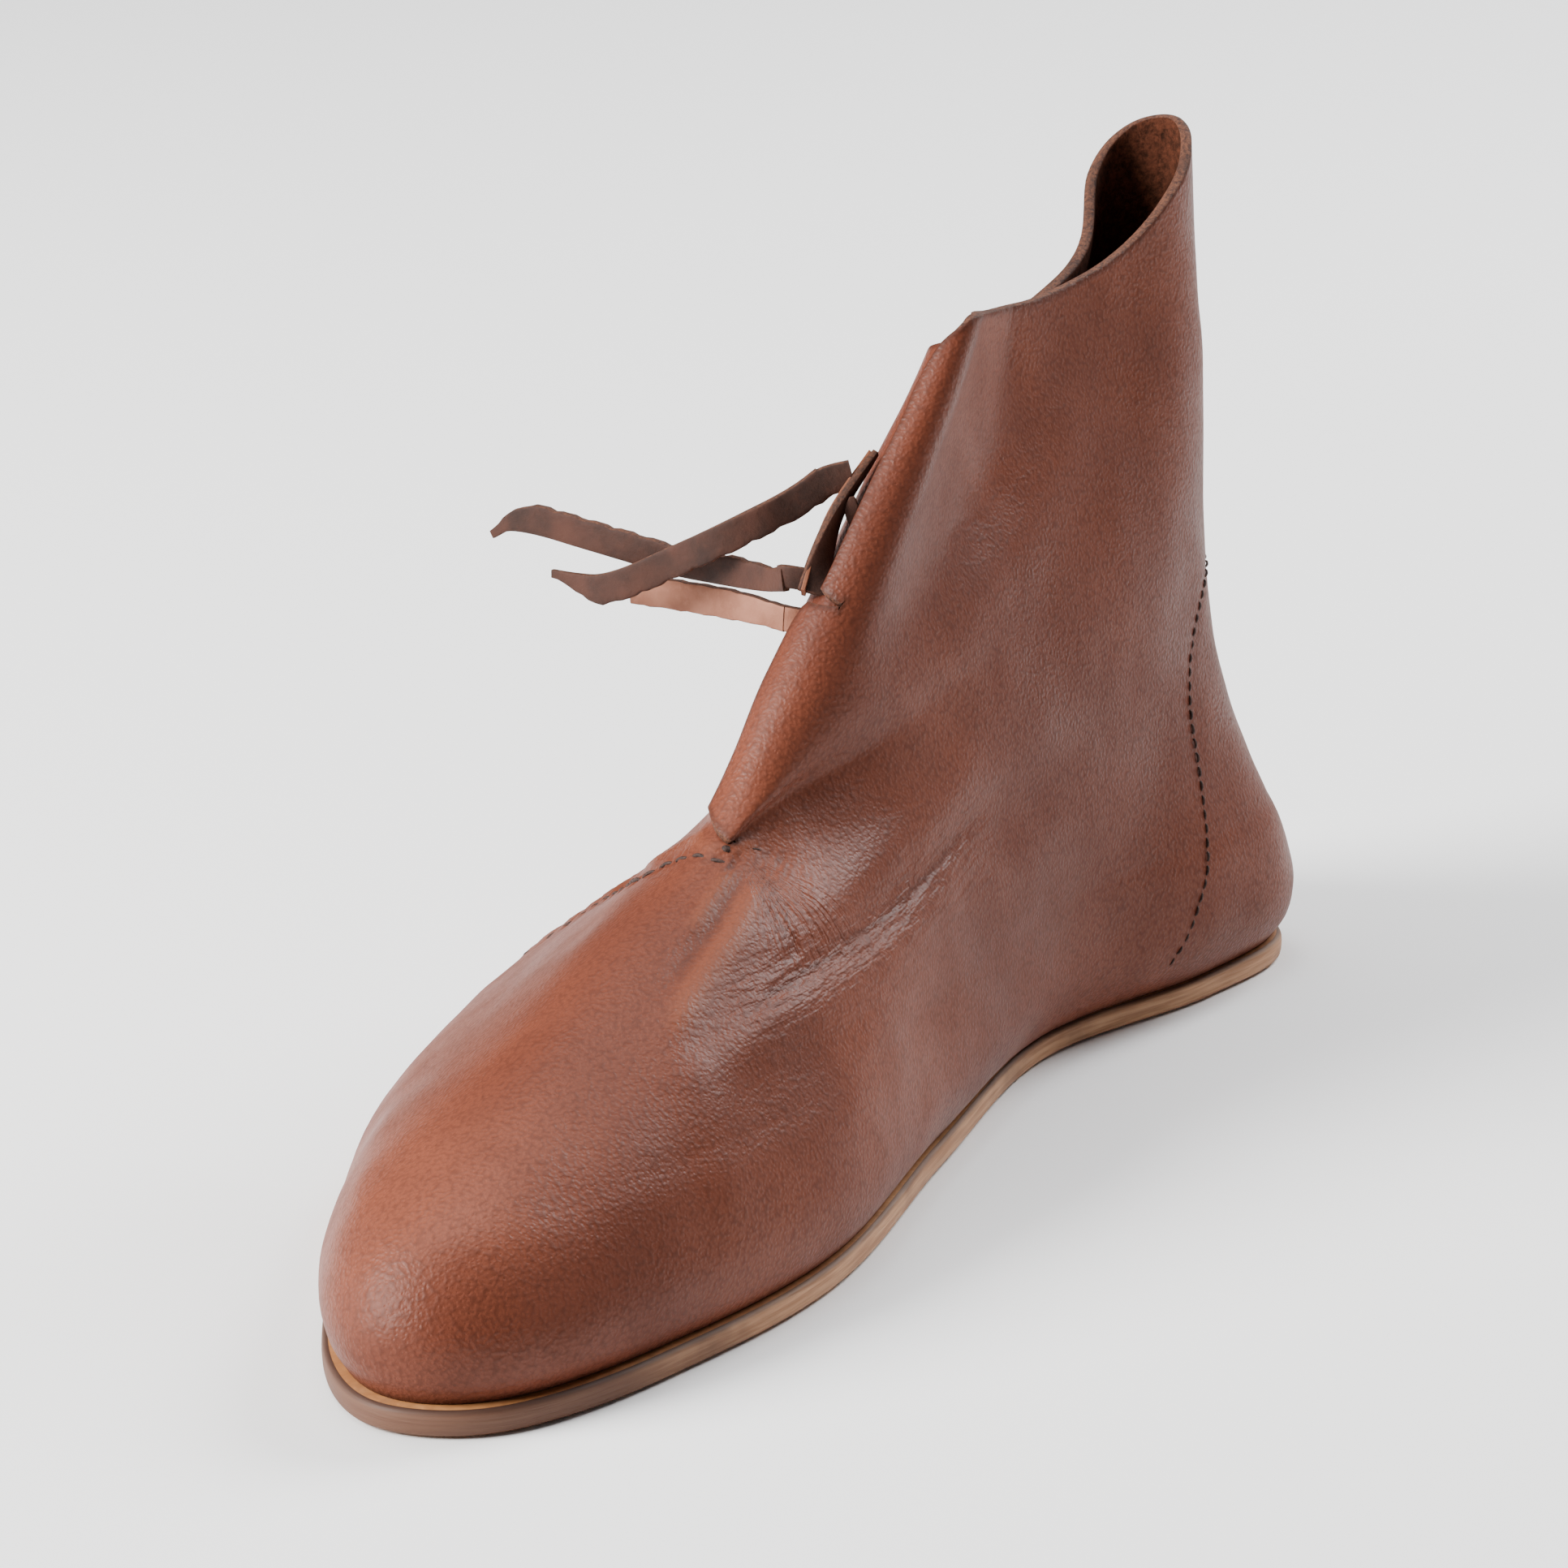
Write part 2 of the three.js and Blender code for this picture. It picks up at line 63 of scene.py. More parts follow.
# Level sections of the last, from the sole up. Height is a share of the throat's height up to 1
# and then a share, less 1, of what is left to the top of the back. Heel and toe are shares of the
# sole's length, and the widths shares of the ball width: on the inner side from the heel to the
# toe, and on the outer side back from the toe to the heel.
SECTIONS = [
    (0.0, -0.5, 0.5, (0, 0.27, 0.295, 0.225, 0.347, 0.486, 0.475, 0.4),
     (0.24, 0.06, -0.155, -0.42, -0.535, -0.415, -0.335, -0.265)),
    (0.42, -0.499, 0.465, (0, 0.25, 0.305, 0.26, 0.33, 0.45, 0.43, 0.35),
     (0.22, 0.06, -0.11, -0.295, -0.41, -0.385, -0.33, -0.26)),
    (0.62, -0.486, 0.355, (0, 0.205, 0.265, 0.26, 0.3, 0.38, 0.385, 0.315),
     (0.2, 0.065, -0.08, -0.21, -0.3, -0.33, -0.305, -0.25)),
    (0.81, -0.47, 0.24, (0, 0.172, 0.228, 0.245, 0.26, 0.305, 0.32, 0.25),
     (0.155, 0.055, -0.04, -0.12, -0.2, -0.26, -0.255, -0.2)),
    (1.0, -0.459, 0.12, (0, 0.15, 0.2, 0.225, 0.24, 0.255, 0.235, 0.175),
     (0.125, 0.065, -0.01, -0.09, -0.15, -0.2, -0.22, -0.175)),
    (1.25, -0.457, 0.04, (0.01, 0.13, 0.175, 0.185, 0.18, 0.19, 0.2, 0.18),
     (0.13, 0.07, 0, -0.07, -0.11, -0.15, -0.17, -0.135)),
    (1.52, -0.466, -0.034, (0.01, 0.105, 0.14, 0.125, 0.105, 0.115, 0.145, 0.175),
     (0.145, 0.09, 0.04, 0, -0.03, -0.07, -0.12, -0.1)),
    (1.76, -0.466, -0.103, (0.01, 0.08, 0.105, 0.085, 0.06, 0.07, 0.12, 0.165),
     (0.16, 0.11, 0.06, 0.015, 0.003, -0.012, -0.08, -0.07)),
    (2.0, -0.464, -0.16, (0.01, 0.065, 0.09, 0.075, 0.045, 0.05, 0.1, 0.15),
     (0.15, 0.1, 0.05, 0.005, -0.002, -0.012, -0.085, -0.065)),
]

# How far the leather swells past the edge of the sole, as a share of the most that it does,
# against the height over the sole, as a share of the height at which the swell ends.
SWELL_OUT = 2.4
SWELL_HEIGHT = 26
SWELL = [(0, -FEATHER_INSET / SWELL_OUT), (0.15, 0.42), (0.38, 1), (0.65, 0.67), (1, 0)]

# Top line in shares of the shaft's height, by the angle round the ankle: 0 at the back, 180 at
# the front, negative on the outer side.
TOP_LINE = [
    (-210, 0.76), (-180, 0.78), (-157, 0.76), (-135, 0.715), (-112, 0.695), (-90, 0.712),
    (-67, 0.785), (-45, 0.9), (-22, 0.975), (0, 1), (22, 0.97), (45, 0.89), (67, 0.793),
    (90, 0.751), (112, 0.761), (135, 0.793), (157, 0.816), (168, 0.822), (174, 0.82),
    (180, 0.803), (186, 0.776), (192, 0.741), (198, 0.696),
]


def shaft_level(share):
    return THROAT_HEIGHT + share * SHAFT_HEIGHT


# How far the flap's edge lies past the front of the ankle, in degrees, against its height, and
# how far the outer quarter runs on past the front under it.
FLAP_EDGE = [
    (THROAT_HEIGHT, 12), (shaft_level(0.28), 12),
    (SLIT_HEIGHT - SLIT_OPENING / 2, 8), (SLIT_HEIGHT + SLIT_OPENING / 2, 3),
    (shaft_level(0.61), 3), (shaft_level(0.68), 3.5), (shaft_level(0.72), 6),
    (shaft_level(0.78), 10),
]
UNDERLAP_REACH = [
    (THROAT_HEIGHT, 30), (shaft_level(0.27), 28), (shaft_level(0.52), 18),
    (shaft_level(0.74), 10), (BACK_HEIGHT, 8),
]


def smooth(v):
    t = np.clip(v, 0, 1)
    return t * t * (3 - 2 * t)


def hermite(p1, p2, slope1, slope2, span, t):
    """One span of a smooth curve from p1 to p2, with the slopes of its neighbours."""
    u = 1 - t
    ends = p1 * (1 + 2 * t) * u * u + p2 * t * t * (3 - 2 * t)
    return ends + span * t * u * (slope1 * u - slope2 * t)


def curve(pairs, at):
    """Smooth curve through pairs (at, value), level beyond its ends. A value may be a row."""
    xs = np.array([p[0] for p in pairs], float)
    ys = np.array([p[1] for p in pairs], float)
    gaps = xs if ys.ndim == 1 else xs[:, None]
    slopes = np.empty_like(ys)
    slopes[1:-1] = (ys[2:] - ys[:-2]) / (gaps[2:] - gaps[:-2])
    slopes[0] = (ys[1] - ys[0]) / (xs[1] - xs[0])
    slopes[-1] = (ys[-1] - ys[-2]) / (xs[-1] - xs[-2])
    at = np.clip(np.asarray(at, float), xs[0], xs[-1])
    i = np.clip(np.searchsorted(xs, at, side="right") - 1, 0, len(xs) - 2)
    span = xs[i + 1] - xs[i]
    t = (at - xs[i]) / span
    if ys.ndim == 2:
        span, t = span[..., None], t[..., None]
    return hermite(ys[i], ys[i + 1], slopes[i], slopes[i + 1], span, t)


def section_height(share):
    return share * THROAT_HEIGHT if share <= 1 else shaft_level(share - 1)


LEVELS = [
    (section_height(row[0]), (row[1] * SOLE_LENGTH, row[2] * SOLE_LENGTH)
     + tuple(w * BALL_WIDTH for w in row[3] + row[4]))
    for row in SECTIONS
]
KNOTS_AROUND = len(LEVELS[0][1]) - 2


def last_point(angle, height):
    """Point (x, y) of the last's skin at an angle and a height, before the swell."""
    angle, height = np.broadcast_arrays(np.asarray(angle, float), np.asarray(height, float))
    rows = curve(LEVELS, height)
    at = (angle / 360 % 1) * KNOTS_AROUND
    k = np.floor(at).astype(int)

    def width(j):
        knot = (k + j) % KNOTS_AROUND
        return np.take_along_axis(rows[..., 2:], knot[..., None], -1)[..., 0]

    w = [width(j) for j in (-1, 0, 1, 2)]
    y = hermite(w[1], w[2], (w[2] - w[0]) / 2, (w[3] - w[1]) / 2, 1, at - k)
    x = rows[..., 0] + (rows[..., 1] - rows[..., 0]) * (1 - np.cos(np.radians(angle))) / 2
    return np.stack([x, y], -1)


LOOK_ASIDE = 1.5


def outward(angle, height):
    """Outward level direction of the skin."""
    a = last_point(np.asarray(angle, float) - LOOK_ASIDE, height)
    b = last_point(np.asarray(angle, float) + LOOK_ASIDE, height)
    d = np.stack([a[..., 1] - b[..., 1], b[..., 0] - a[..., 0]], -1)
    return d / np.linalg.norm(d, axis=-1, keepdims=True)


def skin(angle, height, stand_off=0.0):
    """Point (x, y, z) of the upper's outer face."""
    angle, height = np.broadcast_arrays(np.asarray(angle, float), np.asarray(height, float))
    out = stand_off + SWELL_OUT * curve(SWELL, (height - SOLE_THICKNESS) / SWELL_HEIGHT)
    level = last_point(angle, height) + outward(angle, height) * np.asarray(out)[..., None]
    return np.concatenate([level, height[..., None]], -1)


def edge_point(angle, inset, height=0.0):
    """Outline of flat leather that is cut to the last's section at a height."""
    return last_point(angle, height) - outward(angle, height) * inset


def ground_middle():
    """Where the middle of the sole's length, on the last's own axis, stands in the part's frame."""
    rim = edge_point(np.arange(0, 360, 5), 0)
    low = rim.min(0) * MM
    return Vector((sole_low.x - low[0], sole_low.y - low[1], 0))


MIDDLE = ground_middle()

# Camera: the photograph's own standpoint, in metres from the sole's middle.
CAMERA_PLACE = Vector((0.7967, 0.5429, 0.3675))
CAMERA_AIM = Vector((0.019, 0.017, 0.0692))
PHOTO_LENS = 92.3
SHARE_OF_PHOTO = 0.67
SENSOR = 36


def make_camera():
    data = bpy.data.cameras.new("camera")
    data.sensor_width = SENSOR
    data.lens = PHOTO_LENS / SHARE_OF_PHOTO
    camera = bpy.data.objects.new("camera", data)
    camera.location = MIDDLE + CAMERA_PLACE
    camera.rotation_mode = "QUATERNION"
    camera.rotation_quaternion = (CAMERA_AIM - CAMERA_PLACE).to_track_quat("-Z", "Y")
    bpy.context.scene.collection.objects.link(camera)
    bpy.context.scene.camera = camera


make_camera()


class Shader:
    """A material's node tree, written as expressions. Distances in its textures are metres."""

    def __init__(self, name, **surface):
        self.material = bpy.data.materials.new(name)
        self.material.use_nodes = True
        self.tree = self.material.node_tree
        self.surface = self.tree.nodes["Principled BSDF"]
        for socket, value in surface.items():
            self.surface.inputs[socket.replace("_", " ")].default_value = value
        self.place = self.node("ShaderNodeTexCoord", "Object")

    def feed(self, socket, value):
        if isinstance(value, bpy.types.NodeSocket):
            self.tree.links.new(value, socket)
        else:
            socket.default_value = value

    def node(self, kind, output, sockets=None, **settings):
        """One output of a new node, whose sockets are fed by name or number."""
        node = self.tree.nodes.new(kind)
        for key, value in settings.items():
            setattr(node, key, value)
        for socket, value in (sockets or {}).items():
            self.feed(node.inputs[socket], value)
        return node.outputs[output]

    def stretched(self, scale):
        return self.node("ShaderNodeMapping", "Vector", {"Vector": self.place, "Scale": scale})

    def noise(self, scale, detail=3, roughness=0.55, vector=None, distortion=0, output="Fac"):
        return self.node("ShaderNodeTexNoise", output, {
            "Vector": vector or self.place, "Scale": scale, "Detail": detail,
            "Roughness": roughness, "Distortion": distortion,
        })

    def cells(self, scale, vector, feature="F1"):
        sockets = {"Vector": vector, "Scale": scale}
        return self.node("ShaderNodeTexVoronoi", "Distance", sockets, feature=feature)

    def shaken(self, scale, amount):
        """The place, shifted by noise, so that a texture laid on it has no straight rows."""
        shift = {0: self.noise(scale, 2, 0.5, output="Color"), "Scale": amount}
        shift = self.node("ShaderNodeVectorMath", "Vector", shift, operation="SCALE")
        return self.node("ShaderNodeVectorMath", "Vector", {0: self.place, 1: shift}, operation="ADD")

    def math(self, operation, a, b):
        return self.node("ShaderNodeMath", "Value", {0: a, 1: b}, operation=operation)

    def span(self, value, low, high, to_low=0.0, to_high=1.0):
        """The value's range low to high, stretched to a new range and held at its ends."""
        return self.node("ShaderNodeMapRange", "Result", {
            "Value": value, "From Min": low, "From Max": high, "To Min": to_low, "To Max": to_high,
        }, interpolation_type="SMOOTHSTEP")

    def blend(self, share, a, b):
        return self.node("ShaderNodeMix", 2, {0: share, 6: a, 7: b}, data_type="RGBA")

    def tint(self, colour, value, low, high, shade, most=1.0):
        """The colour, moved towards a shade as the value goes from low to high."""
        return self.blend(self.span(value, low, high, 0, most), colour, shade)

    def attribute(self, name, output="Fac"):
        return self.node("ShaderNodeAttribute", output, attribute_name=name)

    def bump(self, height, distance, strength, normal=None):
        sockets = {"Height": height, "Distance": distance, "Strength": strength}
        if normal:
            sockets["Normal"] = normal
        return self.node("ShaderNodeBump", "Normal", sockets)

    def finish(self, colour, roughness, normal):
        sockets = {"Base Color": colour, "Roughness": roughness, "Normal": normal}
        for name, value in sockets.items():
            self.feed(self.surface.inputs[name], value)
        return self.material


def rgb(red, green, blue):
    """A screen colour, 0 to 255, as the linear colour that shaders take."""
    def linear(v):
        v /= 255
        return v / 12.92 if v <= 0.04045 else ((v + 0.055) / 1.055) ** 2.4
    return (linear(red), linear(green), linear(blue), 1)


def upper_leather():
    s = Shader("upper_leather", Specular_IOR_Level=0.18)
    blotch = s.noise(60, detail=4, roughness=0.6)
    pebble = s.cells(1500, s.shaken(700, 0.0007), "SMOOTH_F1")
    fine = s.noise(2600, detail=2, roughness=0.6)
    pores = s.cells(420, s.shaken(300, 0.002))
    colour = s.tint(rgb(96, 49, 34), s.noise(14), 0.35, 0.7, rgb(118, 64, 46))
    colour = s.tint(colour, blotch, 0.4, 0.75, rgb(84, 40, 26), 0.35)
    colour = s.tint(colour, pebble, 0.25, 0.75, rgb(48, 18, 8), 0.35)
    # Painted shade: the troughs of the creases darken.
    colour = s.tint(colour, s.attribute("crease"), 0.1, 1.0, rgb(54, 25, 15), 0.6)
    colour = s.tint(colour, s.attribute("worn"), 0.2, 1.0, rgb(136, 76, 50), 0.3)
    colour = s.tint(colour, s.attribute("rim"), 0.3, 1.0, rgb(52, 26, 17), 0.55)
    colour = s.blend(s.span(pores, 0.0, 0.16, 0.35, 0.0), colour, rgb(48, 22, 14))
    wrinkles = []
    for name in ("fan", "fold"):
        lines = s.noise(1.0, detail=2, roughness=0.5, vector=s.attribute(name, "Vector"))
        wrinkles.append(s.math("MULTIPLY", s.span(lines, 0.3, 0.7), s.attribute(name + "_mask")))
    normal = s.bump(s.math("ADD", *wrinkles), 0.0003, 0.75)
    grain = s.math("ADD", s.math("MULTIPLY", pebble, 0.9), s.math("MULTIPLY", fine, 0.35))
    normal = s.bump(grain, 0.0002, 0.75, normal)
    mottle = s.math("ADD", blotch, s.math("MULTIPLY", pebble, 0.3))
    return s.finish(colour, s.span(mottle, 0.3, 1.0, 0.4, 0.58), normal)


def flesh_side():
    s = Shader("flesh_side", Specular_IOR_Level=0.12)
    nap = s.noise(700, detail=5, roughness=0.7)
    colour = s.tint(rgb(38, 19, 9), nap, 0.3, 0.7, rgb(88, 48, 32))
    colour = s.tint(colour, s.noise(120), 0.4, 0.7, rgb(58, 30, 18), 0.4)
    return s.finish(colour, 0.92, s.bump(nap, 0.0008, 0.8))


def cut_edge(name, dark, light):
    s = Shader(name, Specular_IOR_Level=0.3)
    fibre = s.noise(1500, detail=4, roughness=0.7)
    colour = s.tint(dark, fibre, 0.3, 0.7, light)
    colour = s.tint(colour, s.noise(180), 0.45, 0.75, dark, 0.5)
    return s.finish(colour, 0.75, s.bump(fibre, 0.0004, 0.7))


def sole_leather():
    s = Shader("sole_leather", Specular_IOR_Level=0.4, Coat_Weight=0.08, Coat_Roughness=0.4)
    cloud = s.noise(22, detail=4, roughness=0.6)
    pebble = s.cells(620, s.shaken(400, 0.002), "SMOOTH_F1")
    scuff = s.noise(1.0, detail=5, roughness=0.7, vector=s.stretched((40, 260, 40)))
    worn = s.math("MULTIPLY", s.span(scuff, 0.56, 0.72), s.span(s.noise(9, detail=2), 0.42, 0.62))
    colour = s.tint(rgb(150, 96, 54), cloud, 0.35, 0.7, rgb(180, 128, 80))
    colour = s.tint(colour, pebble, 0.3, 0.8, rgb(122, 76, 42), 0.4)
    colour = s.blend(s.math("MULTIPLY", worn, 0.55), colour, rgb(118, 96, 78))
    colour = s.tint(colour, s.noise(30, distortion=0.4), 0.62, 0.74, rgb(96, 62, 40), 0.4)
    colour = s.tint(colour, s.attribute("halo"), 0.1, 1.0, rgb(214, 180, 138), 0.45)
    height = s.math("ADD", pebble, s.math("MULTIPLY", scuff, 0.5))
    return s.finish(colour, s.span(scuff, 0.3, 0.7, 0.5, 0.68), s.bump(height, 0.0003, 0.6))


def sole_edge():
    s = Shader("sole_edge", Specular_IOR_Level=0.35)
    layers = s.noise(1.0, detail=4, roughness=0.6, vector=s.stretched((60, 60, 1400)))
    dirt = s.noise(26, detail=4, roughness=0.65)
    height = s.node("ShaderNodeSeparateXYZ", "Z", {"Vector": s.place})
    colour = s.tint(rgb(160, 114, 82), layers, 0.35, 0.65, rgb(192, 146, 110))
    colour = s.tint(colour, s.attribute("toe"), 0.1, 0.9, rgb(82, 52, 40), 0.9)
    colour = s.tint(colour, dirt, 0.5, 0.72, rgb(84, 54, 40), 0.6)
    # Painted shade: the top millimetre of the edge darkens, where the upper's swell overhangs it.
    colour = s.tint(colour, height, 0.0032, 0.0042, rgb(48, 28, 20), 0.75)
    return s.finish(colour, 0.62, s.bump(layers, 0.0003, 0.7))


def insole_leather():
    s = Shader("insole_leather", Specular_IOR_Level=0.3)
    colour = s.tint(rgb(122, 80, 52), s.noise(30, detail=4), 0.35, 0.7, rgb(150, 102, 68))
    return s.finish(colour, 0.7, s.bump(s.noise(900), 0.0003, 0.5))


def nail_iron():
    s = Shader("nail_iron", Metallic=0.55, Specular_IOR_Level=0.5)
    spots = s.noise(900, detail=4, roughness=0.7)
    colour = s.tint(rgb(92, 82, 74), spots, 0.4, 0.65, rgb(128, 108, 88))
    return s.finish(colour, s.span(spots, 0.3, 0.7, 0.42, 0.65), s.bump(spots, 0.0002, 0.5))


def thong_leather(name, dark, light):
    s = Shader(name, Specular_IOR_Level=0.3)
    nap = s.noise(800, detail=5, roughness=0.7)
    colour = s.tint(dark, s.noise(90), 0.35, 0.7, light)
    colour = s.tint(colour, nap, 0.45, 0.75, light, 0.45)
    return s.finish(colour, 0.72, s.bump(nap, 0.0003, 0.6))


def thread():
    s = Shader("thread", Specular_IOR_Level=0.3)
    twist = s.noise(2200, detail=2)
    colour = s.tint(rgb(38, 24, 20), twist, 0.35, 0.65, rgb(66, 44, 36))
    return s.finish(colour, 0.7, s.bump(twist, 0.0002, 0.6))


def floor_paint():
    s = Shader("floor", Specular_IOR_Level=0.2)
    tone = s.noise(3, detail=2)
    colour = s.blend(tone, (0.9, 0.9, 0.895, 1), (0.92, 0.92, 0.915, 1))
    return s.finish(colour, 0.7, s.bump(tone, 0.0001, 0.1))


UPPER_LEATHER = upper_leather()
FLESH_SIDE = flesh_side()
UPPER_EDGE = cut_edge("upper_edge", rgb(44, 24, 16), rgb(104, 62, 42))
SOLE_LEATHER = sole_leather()
SOLE_EDGE = sole_edge()
INSOLE_LEATHER = insole_leather()
NAIL_IRON = nail_iron()
# One thong leather in two tones: thong_lit is partly its grain side's colour and partly painted light,
# thong_dark partly painted shade.
THONG_DARK = thong_leather("thong_dark", rgb(42, 22, 14), rgb(70, 38, 26))
THONG_LIT = thong_leather("thong_lit", rgb(132, 84, 64), rgb(160, 108, 86))
THONG_EDGE = cut_edge("thong_edge", rgb(46, 26, 17), rgb(92, 54, 36))
THONG_RIM = thong_leather("thong_rim", rgb(104, 58, 38), rgb(138, 86, 60))
THREAD = thread()
FLOOR_PAINT = floor_paint()


def new_piece(name, points, faces, materials, face_materials=None, attributes=None, sharp=40):
    """A mesh from points in millimetres round the sole's middle, riding on the shoe."""
    mesh = bpy.data.meshes.new(name)
    placed = np.asarray(points, float) * MM + np.array(MIDDLE)
    mesh.from_pydata(placed.tolist(), [], [tuple(map(int, f)) for f in faces])
    for material in materials:
        mesh.materials.append(material)
    if face_materials is not None:
        mesh.polygons.foreach_set("material_index", np.asarray(face_materials, np.int32))
    for key, values in (attributes or {}).items():
        values = np.asarray(values, np.float32)
        kind = "FLOAT" if values.ndim == 1 else "FLOAT_VECTOR"
        layer = mesh.attributes.new(key, kind, "POINT")
        layer.data.foreach_set("value" if values.ndim == 1 else "vector", values.ravel())
    mesh.update()
    mesh.shade_smooth()
    mesh.set_sharp_from_angle(angle=math.radians(sharp))
    piece = bpy.data.objects.new(name, mesh)
    bpy.context.scene.collection.objects.link(piece)
    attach(piece, "root")
    return piece


def unit(v):
    return v / np.maximum(np.linalg.norm(v, axis=-1, keepdims=True), 1e-9)


def full_turn(sides):
    """Even angles once round, in radians."""
    return np.arange(sides) / sides * 2 * np.pi


def run_along(line):
    """How far along a line each of its points lies."""
    return np.r_[0, np.cumsum(np.linalg.norm(np.diff(line, axis=0), axis=1))]


def read_rows(at, run, rows):
    """Rows given along a run, read at other places on it."""
    return np.stack([np.interp(at, run, column) for column in rows.T], 1)


def tube_faces(rings, sides, base=0):
    """Quads that join each ring of points to the next."""
    return [(low + k, low + (k + 1) % sides, low + sides + (k + 1) % sides, low + sides + k)
            for low in range(base, base + (rings - 1) * sides, sides) for k in range(sides)]


# Thong: flat strips of leather. Routes are the same points as in the solids, in millimetres from
# the sole's middle.
THONG_WIDTH = 5.2
THONG_THICKNESS = 1.6
UP = np.array([0.0, 0.0, 1.0])
STRIP_SIDES = 16
STRIP_SQUARENESS = 0.28
STRIP_STEP = 1.3


def smooth_route(points, step):
    """A smooth line through the points, cut into even steps."""
    points = np.asarray(points, float)
    lengths = run_along(points)
    fine = curve(list(zip(lengths, points)), np.linspace(0, lengths[-1], 400))
    run = run_along(fine)
    count = max(3, int(round(run[-1] / step)))
    return read_rows(np.linspace(0, run[-1], count + 1), run, fine), run[-1]


def strip_section(width, thickness):
    """Rounded oblong, as (across, through) pairs."""
    turn = full_turn(STRIP_SIDES) + np.pi / STRIP_SIDES

    def squared(wave):
        return np.sign(wave) * np.abs(wave) ** STRIP_SQUARENESS

    return squared(np.cos(turn)) * width / 2, squared(np.sin(turn)) * thickness / 2


def strip_mesh(route, across_hint, widths, shifts, thickness):
    """Rings of a strip along a route. A width and a sideways shift are given for each ring."""
    along = unit(np.gradient(route, axis=0))
    side = unit(across_hint - along * (along * across_hint).sum(-1, keepdims=True))
    face = np.cross(along, side)
    points = []
    for i, centre in enumerate(route):
        a, t = strip_section(widths[i], thickness * min(1, 0.45 + 0.55 * widths[i] / THONG_WIDTH))
        points.append(centre + side[i] * (a + shifts[i])[:, None] + face[i] * t[:, None])
    n = STRIP_SIDES
    edge = np.abs(np.sin((np.arange(n) + 1) / n * 2 * np.pi)) < 0.5
    last = (len(route) - 1) * n
    faces = tube_faces(len(route), n) + [tuple(range(n))[::-1], tuple(range(last, last + n))]
    return np.concatenate(points), faces, edge.astype(int).tolist() * (len(route) - 1) + [1, 1]


# Each free end: its route, leather, the side that its tip leans to, and its width at the start.
THONG_ENDS = {
    "thong_end_upper": (
        [(-8.3, 6.8, 113.2), (-6.4, 4.6, 111), (-4.6, 2.4, 109.2), (-0.8, -1.4, 106.6),
         (2.2, -7.9, 102.7), (3, -17.5, 97.5), (4, -24.6, 93.7), (4.2, -30.6, 91.4), (4, -35.6, 90.8),
         (4, -40.6, 90.7)], THONG_DARK, 1, 1.0),
    "thong_end_lower": (
        [(2.5, 6, 99.1), (0, -0.4, 97.6), (-1.5, -11.2, 96.9), (-1.6, -19.9, 97),
         (-1, -28.8, 98.1), (-0.5, -38, 99.2), (0, -46.9, 100.2), (0.5, -53, 100),
         (0.5, -56.8, 98)], THONG_DARK, -1, 0.74),
    "thong_end_back": (
        [(-1.7, 3.4, 90.3), (-2.4, -2.6, 90.6), (-3.6, -10, 90.4), (-4.6, -17, 90),
         (-5, -24, 89.7), (-5, -30.5, 89.4)], THONG_LIT, 0, 0.85),
}
TIP_LENGTH = 11
START_LENGTH = 14
TIP_WIDTH = 0.28


def make_thong_ends():
    for name, (points, leather, lean, start_width) in THONG_ENDS.items():
        route, length = smooth_route(points, STRIP_STEP)
        at = np.linspace(0, length, len(route))
        tip = smooth((at - (length - TIP_LENGTH)) / TIP_LENGTH) if lean else 0 * at
        ragged = 1 + 0.03 * np.sin(at * 1.1) + 0.02 * np.sin(at * 2.7 + 1)
        ragged *= start_width + (1 - start_width) * smooth(at / START_LENGTH)
        widths = THONG_WIDTH * ragged * (1 - (1 - TIP_WIDTH) * tip)
        shifts = lean * (THONG_WIDTH - widths) / 2
        mesh = strip_mesh(route, UP, widths, shifts, THONG_THICKNESS)
        piece = new_piece(name + "_strip", mesh[0], mesh[1], [leather, THONG_EDGE], mesh[2])
        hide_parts(name)


make_thong_ends()

BAR_AWAY = np.array([0.47, -0.88, 0.0])
BAR_ANGLE = 190
BAR_BOTTOM = SLIT_HEIGHT + SLIT_OPENING / 2
BAR_TOP = BAR_BOTTOM + 20.6
BAR_STAND_OFF = 0.75
EDGE_ON = np.array([-0.84, -0.45, -0.3])
BAR_SHIFT = [(0, 1.7), (0.35, 0.1), (0.6, -0.3), (1, 1.1)]
BAR_TURN = [(0, 10), (0.3, 50), (0.6, 72), (1, 80)]
BAR_WIDTH = [(0, 5.0), (0.3, 4.4), (0.6, 3.8), (0.85, 3.2), (1, 1.8)]
BAR_RINGS = 30
LIP_OUT = (1.5, 1.0)
LIP_WIDTH = (3.4, 2.0)
TAB_RING = 17
TAB_INWARD = 2.3
TAB_RINGS = 9
TAB_LENGTH = 4.8
TAB_WIDTH = 2.4
TAB_THICKNESS = 1.4


